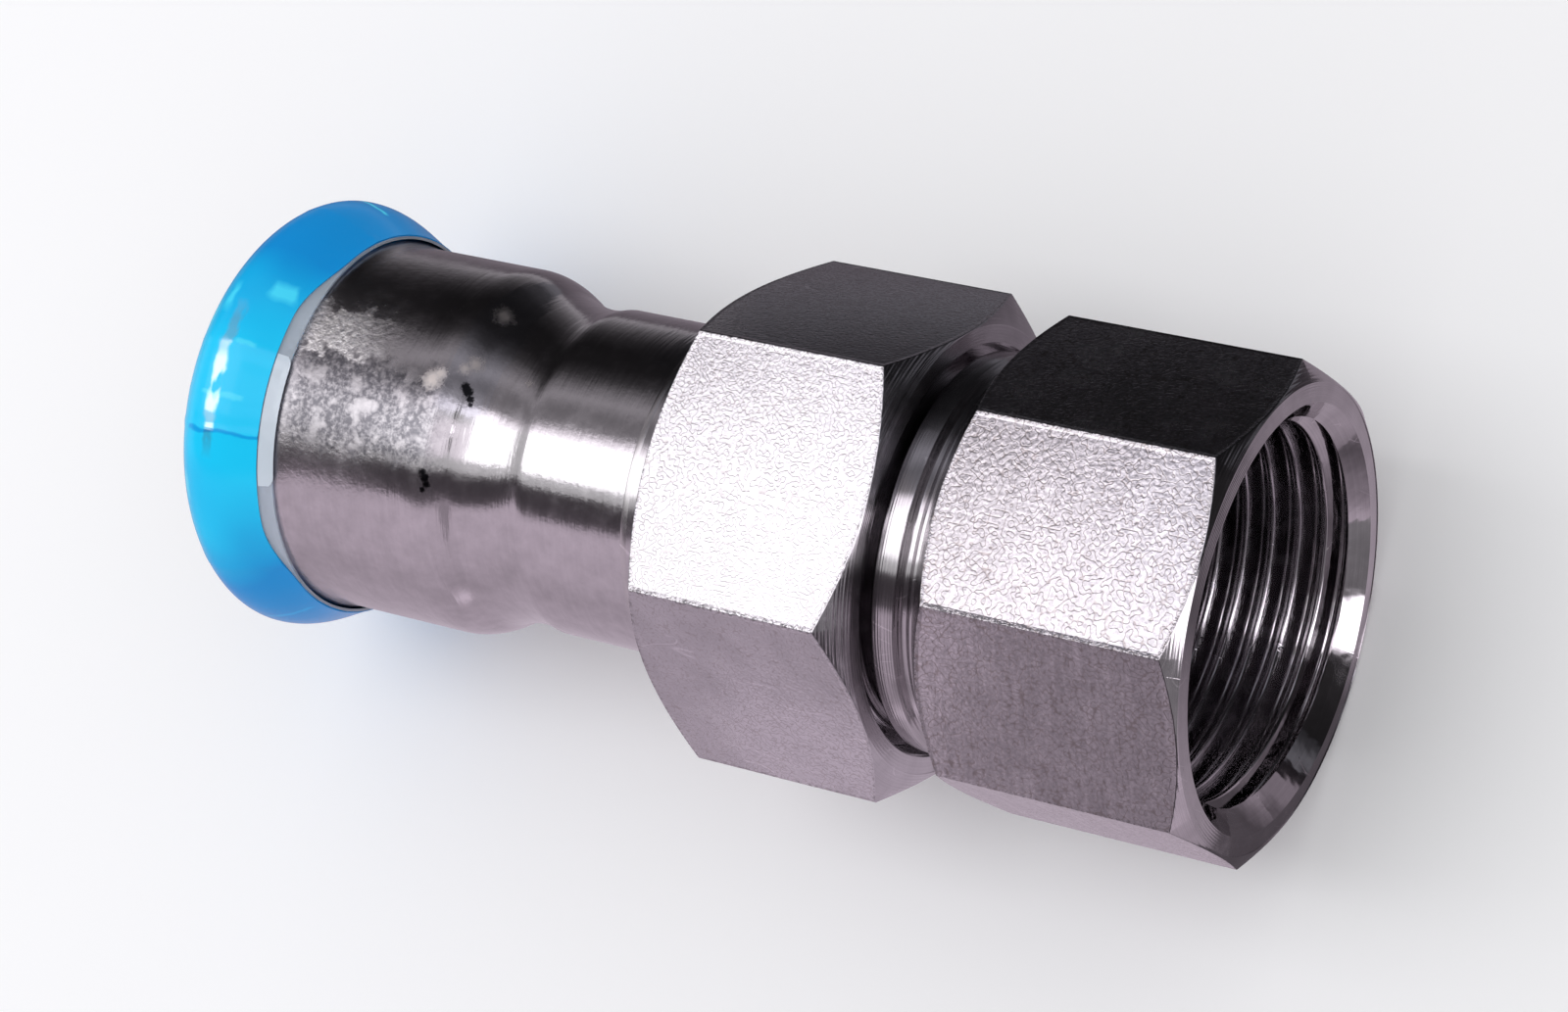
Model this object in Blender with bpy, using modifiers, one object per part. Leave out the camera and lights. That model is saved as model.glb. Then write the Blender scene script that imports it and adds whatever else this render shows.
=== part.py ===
"""Female union adapter: a 28 mm press socket joined to a 1 inch female pipe thread by a union nut.

The pipe axis is X, with the female thread's mouth at the +X end and the press socket at the -X end.
The origin is on the axis, half way along. The adapter lies on a table, and +Z is up.
Everything is in metres.
"""
from math import cos, pi, radians, sin, sqrt, tan

import bmesh
import bpy
from mathutils import Matrix

# Clearances, each measured on one side
SEAT_GAP = 0.0003              # between pieces that seat on each other
THREAD_GAP = 0.00015           # from the pitch line to either thread
NUT_BORE_GAP = 0.0003          # round the neck, where it passes through the nut
PIPE_CLEARANCE = 0.0002        # round the pipe in the press socket
COLLAR_CLEARANCE = 0.00015     # round the collar, as it goes in through the nut's thread
GASKET_CLEARANCE = 0.00035     # round the flat seal, in the same thread

# The pipe and the thread that the adapter joins
PIPE_D = 0.028
THREAD_MAJOR_D = 0.033249      # 1 inch parallel pipe thread, 11 turns to the inch
THREAD_DEPTH = 0.001479

# Octagonal body with the female thread
BODY_FLATS_STEP = 0.0004       # how much further out its flats stand than the nut's
BODY_LENGTH = 0.0232
BODY_TURN = radians(-1.44)     # how far its top flat is turned about +X at rest
BODY_FRONT_FACE_INSET = 0.0002     # from the flats in to the round end face
BODY_FRONT_CHAMFER = radians(33)
BODY_BACK_FACE_INSET = 0.0015
BODY_BACK_CHAMFER = radians(35)
MOUTH_ENTRY_FLARE = 0.00053        # from the thread's major radius out to the rim
FEMALE_THREAD_LENGTH = 0.0188
BORE_STEP = 0.0028455          # from the bore out to the thread's minor radius

# Threaded shank behind the octagon; its drops are radial, from the thread's major size
SHANK_LENGTH = 0.0167
SHANK_ROOT_DROP = 0.00032
SHANK_ROOT_LENGTH = 0.0008
SHANK_GROOVE_DEPTH = 0.0005
SHANK_GROOVE_LENGTH = 0.0014
SHANK_LAND_DROP = 0.00017
SHANK_LAND_LENGTH = 0.0018
SHANK_EDGE = 0.0003
UNDERCUT_DEPTH = 0.0004
UNDERCUT_LENGTH = 0.002
SHANK_END_CHAMFER = 0.0008

# Flat seal between the shank and the tail
GASKET_THICKNESS = 0.002

# Union nut
NUT_WALL = 0.0018755           # from the thread's major radius out to the flats
NUT_LENGTH = 0.0204
NUT_TURN = radians(1.44)
NUT_FRONT_FACE_INSET = 0.0001
NUT_FRONT_CHAMFER = radians(30)
NUT_BACK_FACE_INSET = 0.00075
NUT_BACK_CHAMFER = radians(30)
NUT_BACK_WALL = 0.0026
NUT_MOUTH_EDGE = 0.0002
NUT_COUNTERBORE_STEP = 0.00018     # from the thread's major radius out to the counterbore
NUT_COUNTERBORE_LENGTH = 0.0034
NUT_RELIEF_LENGTH = 0.0022
NUT_HOLE_EDGE = 0.0005

# Turned tail, whose collar the nut pulls on
COLLAR_STEP = 0.0010455        # from the neck out to the collar's rim
TUBE_WALL = 0.0016
COLLAR_THICKNESS = 0.003
COLLAR_EDGE = 0.0003
TAIL_SPIGOT_LENGTH = 0.00585

# Formed tube: neck, waist, shoulder, cup and bead
TUBE_NECK_LENGTH = 0.0101
WAIST_DEPTH = 0.00038
WAIST_HALF_LENGTH = 0.00255    # from the neck's crease to the waist's lowest ring
WAIST_TO_SHOULDER = 0.0037
SHOULDER_LENGTH = 0.0038
CUP_LENGTH = 0.0112
BEAD_RISE = 0.0075
BEAD_HEIGHT = 0.0024
NOSE_LENGTH = 0.0036
NOSE_DROP = 0.00305

# Seal ring and indicator film on the bead
O_RING_SECTION_D = 0.0024
O_RING_SETBACK = 0.0004        # from the crown's ring towards the cup
FILM_THICKNESS = 0.0003
FILM_START = 0.0018            # from the foot of the bead to the film's edge

SEGMENTS = 48
CURVE_STEPS = 4
BEAD_STEPS = 6
O_RING_STEPS = 8
CUTTER_MARGIN = 0.002
BLANK_OVERSIZE = 1.03
MERGE_DISTANCE = 0.00001

# Radii that follow from the sizes above
THREAD_MAJOR_R = THREAD_MAJOR_D / 2
THREAD_PITCH_R = THREAD_MAJOR_R - THREAD_DEPTH / 2
THREAD_MINOR_R = THREAD_MAJOR_R - THREAD_DEPTH
MALE_THREAD_R = THREAD_PITCH_R - THREAD_GAP
NUT_THREAD_R = THREAD_PITCH_R + THREAD_GAP
MOUTH_RIM_R = THREAD_MAJOR_R + MOUTH_ENTRY_FLARE
BODY_BORE_R = THREAD_MINOR_R - BORE_STEP
NUT_ACROSS_FLATS = THREAD_MAJOR_D + 2 * NUT_WALL
BODY_ACROSS_FLATS = NUT_ACROSS_FLATS + 2 * BODY_FLATS_STEP
COLLAR_R = THREAD_MINOR_R - COLLAR_CLEARANCE
GASKET_R = THREAD_MINOR_R - GASKET_CLEARANCE
NECK_R = COLLAR_R - COLLAR_STEP
TUBE_BORE_R = NECK_R - TUBE_WALL
CUP_R = PIPE_D / 2 + PIPE_CLEARANCE + TUBE_WALL
CROWN_R = CUP_R + BEAD_HEIGHT
WAIST_R = NECK_R - WAIST_DEPTH

# Places along the axis, each counted from its neighbour; the first is counted from the mouth
SHANK_END = -(BODY_LENGTH + SHANK_LENGTH)
GASKET_FRONT = SHANK_END - SEAT_GAP
COLLAR_FRONT = GASKET_FRONT - GASKET_THICKNESS - SEAT_GAP
COLLAR_BACK = COLLAR_FRONT - COLLAR_THICKNESS
NUT_SHOULDER = COLLAR_BACK - SEAT_GAP
NUT_BACK = NUT_SHOULDER - NUT_BACK_WALL
NUT_FRONT = NUT_BACK + NUT_LENGTH
TAIL_END = COLLAR_BACK - TAIL_SPIGOT_LENGTH
TUBE_START = TAIL_END - SEAT_GAP
NECK_CREASE = TUBE_START - TUBE_NECK_LENGTH
WAIST = NECK_CREASE - WAIST_HALF_LENGTH
SHOULDER_CREASE = WAIST - WAIST_TO_SHOULDER
CUP_START = SHOULDER_CREASE - SHOULDER_LENGTH
BEAD_FOOT = CUP_START - CUP_LENGTH
CROWN = BEAD_FOOT - BEAD_RISE
FILM_OFFSET = SEAT_GAP + FILM_THICKNESS

STEEL = ("stainless_steel", (0.62, 0.60, 0.61), 0.22, 1.0)
BODY_STEEL = ("machined_steel", (0.58, 0.56, 0.57), 0.30, 1.0)
BLUE_FILM = ("blue_film", (0.01, 0.38, 0.83), 0.18, 0.0)
BLACK_RUBBER = ("black_rubber", (0.02, 0.02, 0.02), 0.55, 0.0)
GASKET_RUBBER = ("gasket_rubber", (0.05, 0.05, 0.055), 0.6, 0.0)


def clear_scene():
    for old in list(bpy.data.objects):
        bpy.data.objects.remove(old, do_unlink=True)


def collection(name):
    group = bpy.data.collections.new(name)
    bpy.context.scene.collection.children.link(group)
    return group


def material(spec):
    name, colour, roughness, metallic = spec
    found = bpy.data.materials.get(name)
    if found:
        return found
    made = bpy.data.materials.new(name)
    made.use_nodes = True
    shader = made.node_tree.nodes["Principled BSDF"]
    shader.inputs["Base Color"].default_value = (*colour, 1.0)
    shader.inputs["Roughness"].default_value = roughness
    shader.inputs["Metallic"].default_value = metallic
    made.diffuse_color = (*colour, 1.0)
    return made


def spin(obj):
    """Turns an outline in the XY plane about the X axis."""
    screw = obj.modifiers.new("Turned", "SCREW")
    screw.axis = "X"
    screw.angle = 2 * pi
    screw.screw_offset = 0
    screw.steps = SEGMENTS
    screw.render_steps = SEGMENTS
    screw.use_merge_vertices = True
    screw.merge_threshold = MERGE_DISTANCE
    screw.use_smooth_shade = True


def outline_object(name, outline, closed, group, spec, place):
    """A piece whose outline of (x, r) points runs from its +X end along the outside."""
    mesh = bpy.data.meshes.new(name)
    count = len(outline)
    edges = [(i, i + 1) for i in range(count - 1)]
    if closed:
        edges.append((count - 1, 0))
    mesh.from_pydata([(x, r, 0) for x, r in outline], edges, [])
    obj = bpy.data.objects.new(name, mesh)
    group.objects.link(obj)
    obj.location.x = place
    mesh.materials.append(material(spec))
    spin(obj)
    return obj


def turned_shell(name, outline, wall, group, spec, place):
    """A tube formed from sheet: the outer surface is turned, and the wall lies inside it."""
    obj = outline_object(name, outline, False, group, spec, place)
    shell = obj.modifiers.new("Wall", "SOLIDIFY")
    shell.thickness = wall
    shell.offset = -1
    shell.use_even_offset = True
    return obj


def prism(name, sides, across_flats, start, end, turn, group, place):
    """A cutter with the given number of sides, whose flats face +Z before it is turned about +X."""
    mesh = bpy.data.meshes.new(name)
    form = bmesh.new()
    corner_r = across_flats / 2 / cos(pi / sides)
    bmesh.ops.create_cone(form, cap_ends=True, segments=sides, radius1=corner_r, radius2=corner_r,
                          depth=end - start)
    along_x = Matrix.Rotation(pi / 2, 4, "Y")
    flat_up = Matrix.Rotation(pi / 2 - pi / sides, 4, "Z")
    form.transform(Matrix.Rotation(turn, 4, "X") @ along_x @ flat_up)
    bmesh.ops.translate(form, verts=form.verts, vec=((start + end) / 2, 0, 0))
    form.to_mesh(mesh)
    form.free()
    cutter = bpy.data.objects.new(name, mesh)
    cutter.location.x = place
    cutter.hide_render = True
    cutter.display_type = "WIRE"
    group.objects.link(cutter)
    return cutter


def intersect(obj, cutter):
    cut = obj.modifiers.new("Flats", "BOOLEAN")
    cut.operation = "INTERSECT"
    cut.solver = "EXACT"
    cut.object = cutter


def curve(steps, start, end, radius_at):
    """Points on a curve r(x) from start to end, without the first."""
    places = [start + (end - start) * i / steps for i in range(1, steps + 1)]
    return [(x, radius_at(x)) for x in places]


def waist_radius(x):
    return WAIST_R + WAIST_DEPTH * ((x - WAIST) / WAIST_HALF_LENGTH) ** 2


def shoulder_radius(x):
    drop = CUP_R - waist_radius(SHOULDER_CREASE)
    return CUP_R - drop * ((x - CUP_START) / SHOULDER_LENGTH) ** 2


def bead_radius(x):
    """The bead rises from the cup in a soft S and falls from its crown to the open end."""
    if x > CROWN:
        share = (BEAD_FOOT - x) / BEAD_RISE
        return CUP_R + BEAD_HEIGHT * (1 - cos(pi * share)) / 2
    return CROWN_R - NOSE_DROP * ((CROWN - x) / NOSE_LENGTH) ** 2


def bead_outline(start, offset):
    """The bead's outer line from start to the open end, moved outwards by offset."""
    line = [(start, bead_radius(start))]
    line += curve(BEAD_STEPS, start, CROWN, bead_radius)
    line += curve(CURVE_STEPS, CROWN, CROWN - NOSE_LENGTH, bead_radius)
    moved = []
    for x, r in line:
        reach = MERGE_DISTANCE
        slope = (bead_radius(x + reach) - bead_radius(x - reach)) / (2 * reach)
        scale = offset / sqrt(1 + slope * slope)
        moved.append((x - slope * scale, r + scale))
    return moved


def chamfered_bar(sides, across_flats, front, front_face, back, back_face):
    """Outer line of a turned bar whose chamfers run from its end faces out past the corners.

    Each face is its inset from the flats and its chamfer's angle.
    """
    bar_r = across_flats / 2 / cos(pi / sides) * BLANK_OVERSIZE
    front_r = across_flats / 2 - front_face[0]
    back_r = across_flats / 2 - back_face[0]
    return [
        (front, front_r),
        (front - (bar_r - front_r) * tan(front_face[1]), bar_r),
        (back + (bar_r - back_r) * tan(back_face[1]), bar_r),
        (back, back_r),
    ]


def make_female_adapter(parts, cutters, mouth):
    """Octagonal body, female thread and threaded shank, turned from one bar."""
    body_back = -BODY_LENGTH
    groove_start = body_back - SHANK_ROOT_LENGTH
    land_start = groove_start - SHANK_GROOVE_LENGTH
    land_end = land_start - SHANK_LAND_LENGTH
    undercut_start = land_end - SHANK_EDGE
    thread_start = undercut_start - UNDERCUT_LENGTH
    root_r = THREAD_MAJOR_R - SHANK_ROOT_DROP
    groove_r = root_r - SHANK_GROOVE_DEPTH
    land_r = THREAD_MAJOR_R - SHANK_LAND_DROP
    undercut_r = THREAD_MINOR_R - UNDERCUT_DEPTH
    entry_depth = MOUTH_RIM_R - THREAD_MINOR_R
    outline = chamfered_bar(8, BODY_ACROSS_FLATS, 0, (BODY_FRONT_FACE_INSET, BODY_FRONT_CHAMFER),
                            body_back, (BODY_BACK_FACE_INSET, BODY_BACK_CHAMFER))
    outline += [
        (body_back, root_r),
        (groove_start, root_r),
        (groove_start - SHANK_GROOVE_DEPTH, groove_r),
        (land_start + SHANK_GROOVE_DEPTH, groove_r),
        (land_start, land_r),
        (land_end, land_r),
        (undercut_start, land_r - SHANK_EDGE),
        (undercut_start, undercut_r),
        (thread_start, undercut_r),
        (thread_start - MALE_THREAD_R + undercut_r, MALE_THREAD_R),
        (SHANK_END + SHANK_END_CHAMFER, MALE_THREAD_R),
        (SHANK_END, MALE_THREAD_R - SHANK_END_CHAMFER),
        (SHANK_END, BODY_BORE_R),
        (-FEMALE_THREAD_LENGTH - BORE_STEP / 2, BODY_BORE_R),
        (-FEMALE_THREAD_LENGTH, THREAD_MINOR_R),
        (-entry_depth, THREAD_MINOR_R),
        (0, MOUTH_RIM_R),
    ]
    body = outline_object("female_adapter", outline, True, parts, BODY_STEEL, mouth)
    flats = prism("octagon_cutter", 8, BODY_ACROSS_FLATS, SHANK_END - CUTTER_MARGIN, CUTTER_MARGIN,
                  BODY_TURN, cutters, mouth)
    intersect(body, flats)
    return body


def make_union_nut(parts, cutters, mouth):
    """Hexagonal nut that turns on the neck and pulls the tail's collar against the seal."""
    counterbore_end = NUT_FRONT - NUT_COUNTERBORE_LENGTH
    relief_r = THREAD_MAJOR_R + NUT_COUNTERBORE_STEP
    hole_r = NECK_R + NUT_BORE_GAP
    lead_in = relief_r - NUT_THREAD_R
    outline = chamfered_bar(6, NUT_ACROSS_FLATS, NUT_FRONT, (NUT_FRONT_FACE_INSET, NUT_FRONT_CHAMFER),
                            NUT_BACK, (NUT_BACK_FACE_INSET, NUT_BACK_CHAMFER))
    outline += [
        (NUT_BACK, hole_r + NUT_HOLE_EDGE),
        (NUT_BACK + NUT_HOLE_EDGE, hole_r),
        (NUT_SHOULDER, hole_r),
        (NUT_SHOULDER, relief_r),
        (NUT_SHOULDER + NUT_RELIEF_LENGTH, relief_r),
        (NUT_SHOULDER + NUT_RELIEF_LENGTH + lead_in, NUT_THREAD_R),
        (counterbore_end - lead_in, NUT_THREAD_R),
        (counterbore_end, relief_r),
        (NUT_FRONT - NUT_MOUTH_EDGE, relief_r),
        (NUT_FRONT, relief_r + NUT_MOUTH_EDGE),
    ]
    nut = outline_object("union_nut", outline, True, parts, BODY_STEEL, mouth)
    flats = prism("hexagon_cutter", 6, NUT_ACROSS_FLATS, NUT_BACK - CUTTER_MARGIN,
                  NUT_FRONT + CUTTER_MARGIN, NUT_TURN, cutters, mouth)
    intersect(nut, flats)
    return nut


def make_flat_gasket(parts, mouth):
    back = GASKET_FRONT - GASKET_THICKNESS
    outline = [
        (GASKET_FRONT, GASKET_R),
        (back, GASKET_R),
        (back, BODY_BORE_R),
        (GASKET_FRONT, BODY_BORE_R),
    ]
    return outline_object("flat_gasket", outline, True, parts, GASKET_RUBBER, mouth)


def make_union_tail(parts, mouth):
    """Turned collar piece, welded to the end of the formed tube."""
    outline = [
        (COLLAR_FRONT, COLLAR_R - COLLAR_EDGE),
        (COLLAR_FRONT - COLLAR_EDGE, COLLAR_R),
        (COLLAR_BACK, COLLAR_R),
        (COLLAR_BACK, NECK_R),
        (TAIL_END, NECK_R),
        (TAIL_END, TUBE_BORE_R),
        (COLLAR_FRONT, TUBE_BORE_R),
    ]
    return outline_object("union_tail", outline, True, parts, STEEL, mouth)


def make_press_socket(parts, mouth):
    """Formed stainless tube: neck, rolled waist, shoulder, pipe cup and the bead for the seal ring."""
    outline = [(TUBE_START, NECK_R), (NECK_CREASE, NECK_R)]
    outline += curve(CURVE_STEPS, NECK_CREASE, SHOULDER_CREASE, waist_radius)
    outline += curve(CURVE_STEPS, SHOULDER_CREASE, CUP_START, shoulder_radius)
    outline += bead_outline(BEAD_FOOT, 0)
    return turned_shell("press_socket", outline, TUBE_WALL, parts, STEEL, mouth)


def make_indicator_film(parts, mouth):
    """Coloured film shrunk over the bead; it tears off once the joint is pressed."""
    outline = bead_outline(BEAD_FOOT - FILM_START, FILM_OFFSET)
    return turned_shell("indicator_film", outline, FILM_THICKNESS, parts, BLUE_FILM, mouth)


def make_o_ring(parts, mouth):
    """Seal ring inside the bead, standing a little proud of the pipe's path."""
    section_r = O_RING_SECTION_D / 2
    centre_r = CROWN_R - TUBE_WALL - SEAT_GAP - section_r
    centre_x = CROWN + O_RING_SETBACK
    outline = []
    for i in range(O_RING_STEPS):
        angle = 2 * pi * i / O_RING_STEPS
        outline.append((centre_x + section_r * cos(angle), centre_r + section_r * sin(angle)))
    return outline_object("o_ring", outline, True, parts, BLACK_RUBBER, mouth)


def hang(children, parent):
    """Parents pieces to another object and keeps their places."""
    for child in children:
        child.parent = parent
        child.matrix_parent_inverse = Matrix.Translation(parent.location).inverted()


def axis_empty(name, place, parts):
    empty = bpy.data.objects.new(name, None)
    empty.empty_display_size = 2 * COLLAR_R
    empty.location.x = place
    parts.objects.link(empty)
    return empty


def main():
    clear_scene()
    parts = collection("female_union_adapter")
    cutters = collection("cutters")
    film_end = bead_outline(BEAD_FOOT, FILM_OFFSET)[-1][0]
    mouth = -film_end / 2
    body = make_female_adapter(parts, cutters, mouth)
    nut = make_union_nut(parts, cutters, mouth)
    gasket = make_flat_gasket(parts, mouth)
    tail = make_union_tail(parts, mouth)
    socket = make_press_socket(parts, mouth)
    film = make_indicator_film(parts, mouth)
    ring = make_o_ring(parts, mouth)
    seal_plane = axis_empty("seal_plane", mouth + GASKET_FRONT, parts)
    press_axis = axis_empty("press_end_axis", mouth + COLLAR_FRONT, parts)
    hang([tail, socket, film, ring], press_axis)
    hang([gasket, nut, press_axis], seal_plane)


main()
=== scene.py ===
"""Looks of a stainless steel press-fit union adapter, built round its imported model.

The pipe axis is X, with the female thread's mouth at +X, and +Z is up. Everything is in metres.
An angle round the axis is counted from +Z, by the right-hand rule about +X.
"""

from bisect import bisect
from math import atan, cos, floor, hypot, pi, radians, sin, sqrt, tan

import bmesh
import bpy
from mathutils import Matrix, Vector


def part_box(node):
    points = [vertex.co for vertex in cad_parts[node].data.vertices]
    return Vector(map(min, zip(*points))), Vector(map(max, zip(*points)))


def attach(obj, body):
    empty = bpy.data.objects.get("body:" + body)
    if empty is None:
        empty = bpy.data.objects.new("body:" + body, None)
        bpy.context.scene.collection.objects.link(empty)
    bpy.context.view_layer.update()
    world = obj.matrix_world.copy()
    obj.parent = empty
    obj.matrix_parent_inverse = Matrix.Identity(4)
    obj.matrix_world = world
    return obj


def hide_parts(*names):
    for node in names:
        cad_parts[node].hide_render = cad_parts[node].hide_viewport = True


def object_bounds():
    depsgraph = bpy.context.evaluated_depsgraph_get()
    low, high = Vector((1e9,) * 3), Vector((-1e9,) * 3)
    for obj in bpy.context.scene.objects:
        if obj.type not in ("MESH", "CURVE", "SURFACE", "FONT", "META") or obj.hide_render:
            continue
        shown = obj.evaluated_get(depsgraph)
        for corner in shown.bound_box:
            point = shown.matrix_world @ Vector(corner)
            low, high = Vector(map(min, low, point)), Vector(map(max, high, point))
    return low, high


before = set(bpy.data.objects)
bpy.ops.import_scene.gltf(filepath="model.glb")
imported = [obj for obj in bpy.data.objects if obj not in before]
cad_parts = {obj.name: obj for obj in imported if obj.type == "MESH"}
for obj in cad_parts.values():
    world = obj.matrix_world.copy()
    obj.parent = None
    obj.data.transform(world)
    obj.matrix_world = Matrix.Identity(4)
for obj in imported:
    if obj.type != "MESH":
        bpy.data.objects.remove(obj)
cad_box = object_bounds()


# Camera
# It looks down on the fitting from above the mouth's end, with the picture turned so that the pipe
# runs from the upper left to the lower right.
CAMERA_PLACE = Vector((0.16365, -0.03969, 0.30079))
CAMERA_RIGHT = Vector((0.86299, 0.27146, -0.42610))
CAMERA_UP = Vector((-0.18786, 0.95534, 0.22815))
LENS_MM = 95.83
SENSOR_MM = 36

eye = bpy.data.cameras.new("camera")
eye.lens = LENS_MM
eye.sensor_width = SENSOR_MM
eye.clip_start = 0.01
camera = bpy.data.objects.new("camera", eye)
bpy.context.scene.collection.objects.link(camera)
turn = Matrix((CAMERA_RIGHT, CAMERA_UP, CAMERA_RIGHT.cross(CAMERA_UP))).transposed()
camera.matrix_world = Matrix.Translation(CAMERA_PLACE) @ turn.to_4x4()
bpy.context.scene.camera = camera


# Floor and light
# A white table under one soft box. Cards stand and lie round the fitting, glowing like lit paper
# though they are no lamps, and only bright steel sees them: their painted tones give it painted
# reflections of the dark and grey bands that it has in a studio.
FLOOR_SIZE = 8.0
FLOOR_COLOUR = (0.985, 0.985, 0.985)
FLOOR_GAP = 0.00002
WORLD_COLOUR = (0.76, 0.76, 0.775)
SOFT_BOX_HEIGHT = 0.5
SOFT_BOX_X = (-0.56, 0.02)
SOFT_BOX_Y = (-0.175, 0.11)
SOFT_BOX_RADIANCE = 1.72
SOFT_BOX_COLOUR = (0.975, 0.965, 1.0)
TABLE_Z = cad_box[0].z - FLOOR_GAP
CARD_LIFT = 0.00001
CARDS_X = (-0.30, 0.12)
FAR_CARD_Y = 0.046
NEAR_CARD_Y = -0.056
END_CARD_HEIGHT = 0.22
FILL_CARD_X = (SOFT_BOX_X[1], 0.34)
FILL_CARD_Y = (SOFT_BOX_Y[0], 0.03)
TABLE_CARD_JOINTS = (0.042, 0.056, 0.070)
FAR_CARD_JOINTS = (-0.10, -0.028)
NEAR_CARD_JOINTS = (-0.019, 0.003, 0.045)
GREY_PAPER = (1.0, 0.86, 1.0)
COOL_PAPER = (0.98, 0.93, 1.0)
BLUE_PAPER = (0.90, 0.89, 1.0)
# The cards' tones, as places and tones of glow: painted light and shade. They run from the near
# side to the far one on the table and the end card, from the table up on the far and near cards,
# and away from the lamp on the last.
# The table cards are mostly darker on the far side, behind the fitting: a painted shadow of it,
# since nothing shades them.
TABLE_CARD_LEFT = [(NEAR_CARD_Y, 0.56), (0.004, 0.60), (0.018, 0.26), (FAR_CARD_Y, 0.12)]
TABLE_CARD_MID = [(NEAR_CARD_Y, 0.10), (-0.003, 0.12), (0.003, 0.40), (0.008, 0.52), (0.020, 0.44),
                  (FAR_CARD_Y, 0.30)]
TABLE_CARD_RIGHT = [(NEAR_CARD_Y, 0.60), (-0.014, 0.48), (-0.008, 0.37), (0.002, 0.16),
                    (0.006, 0.32), (0.018, 0.34), (0.024, 0.40), (0.030, 0.10), (FAR_CARD_Y, 0.04)]
TABLE_CARD_END = [(NEAR_CARD_Y, 0.75), (-0.027, 0.64), (-0.008, 0.30), (0.002, 0.10),
                  (0.006, 0.03), (FAR_CARD_Y, 0.02)]
# The end card's band at 3.6 glows brighter than the soft box: a painted highlight for the cone in
# the mouth.
END_CARD_TONES = [(NEAR_CARD_Y, 0.35), (-0.026, 0.26), (-0.017, 0.26), (-0.014, 3.6), (0.004, 3.6),
                  (0.007, 0.04), (FAR_CARD_Y, 0.02)]
FAR_CARD_MIDDLE = [(0.012, 0.012), (0.028, 0.015), (0.039, 0.05), (0.050, 0.22), (0.064, 0.42),
                   (0.074, 0.34), (0.090, 0.22)]
FAR_CARD_LOWER = [(TABLE_Z, 0.50), (-0.012, 0.24), (-0.004, 0.09), (0.004, 0.028)] + FAR_CARD_MIDDLE
# Near their tops the far cards glow brighter than the soft box: painted reflections of light above
# the fitting.
FAR_CARD_LEFT = FAR_CARD_LOWER + [(0.150, 0.40), (0.200, 1.1), (0.240, 1.6), (0.320, 2.2)]
FAR_CARD_MID = FAR_CARD_LOWER + [(0.165, 0.30), (0.212, 2.2), (0.320, 2.5)]
FAR_CARD_RIGHT = ([(TABLE_Z, 0.22), (-0.014, 0.19), (-0.009, 0.07), (0.002, 0.02)]
                  + FAR_CARD_MIDDLE + [(0.165, 0.40), (0.205, 2.0), (0.320, 2.2)])
NEAR_CARD_UPPER = [(0.055, 0.50), (0.059, 0.12), (0.070, 0.08), (0.100, 0.06), (0.112, 0.10)]
NEAR_CARD_LEFT = ([(TABLE_Z, 0.54), (-0.006, 0.53), (0.012, 0.65), (0.050, 0.72)]
                  + NEAR_CARD_UPPER)
NEAR_CARD_MID = ([(TABLE_Z, 0.95), (-0.013, 0.86), (-0.0105, 0.66), (-0.008, 0.55), (-0.004, 0.47),
                  (0.012, 0.62), (0.050, 0.70)] + NEAR_CARD_UPPER)
NEAR_CARD_RIGHT = ([(TABLE_Z, 0.80), (-0.0115, 0.70), (-0.006, 0.46), (0.006, 0.36), (0.050, 0.40)]
                   + NEAR_CARD_UPPER)
NEAR_CARD_END = [(TABLE_Z, 0.10), (0.112, 0.05)]
# The fill card glows like a second soft box that only reflections see: a painted reflection.
FILL_CARD_TONES = [(FILL_CARD_X[0], 1.5), (FILL_CARD_X[1], 1.2)]


def plain_material(name, colour, shader_name="ShaderNodeBsdfDiffuse"):
    made = bpy.data.materials.new(name)
    made.use_nodes = True
    tree = made.node_tree
    tree.nodes.clear()
    shader = tree.nodes.new(shader_name)
    shader.inputs["Color"].default_value = (*colour, 1)
    output = tree.nodes.new("ShaderNodeOutputMaterial")
    tree.links.new(shader.outputs[0], output.inputs["Surface"])
    return made


def toned_paper(name, tint, tones, axis):
    """A glowing sheet, no lamp, whose painted tone stands for lit paper and changes along one axis,
    given as places and tones in rising order.
    """
    made = plain_material(name, tint, "ShaderNodeEmission")
    tree = made.node_tree
    first, last = tones[0][0], tones[-1][0]
    brightest = max(tone for _, tone in tones)
    tree.nodes["Emission"].inputs["Strength"].default_value = brightest
    parts = tree.nodes.new("ShaderNodeSeparateXYZ")
    tree.links.new(tree.nodes.new("ShaderNodeTexCoord").outputs["Object"], parts.inputs[0])
    share = tree.nodes.new("ShaderNodeMapRange")
    share.inputs["From Min"].default_value = first
    share.inputs["From Max"].default_value = last
    tree.links.new(parts.outputs[axis], share.inputs["Value"])
    ramp = tree.nodes.new("ShaderNodeValToRGB")
    stops = ramp.color_ramp.elements
    while len(stops) < len(tones):
        stops.new(0.5)
    for stop, (place, tone) in zip(stops, tones):
        stop.position = (place - first) / (last - first)
        stop.color = (*(part * tone / brightest for part in tint), 1)
    tree.links.new(share.outputs[0], ramp.inputs["Fac"])
    tree.links.new(ramp.outputs["Color"], tree.nodes["Emission"].inputs["Color"])
    return made


def flat_sheet(name, corners, skin):
    mesh = bpy.data.meshes.new(name)
    mesh.from_pydata(corners, [], [(0, 1, 2, 3)])
    mesh.materials.append(skin)
    sheet = bpy.data.objects.new(name, mesh)
    bpy.context.scene.collection.objects.link(sheet)
    return sheet


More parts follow.
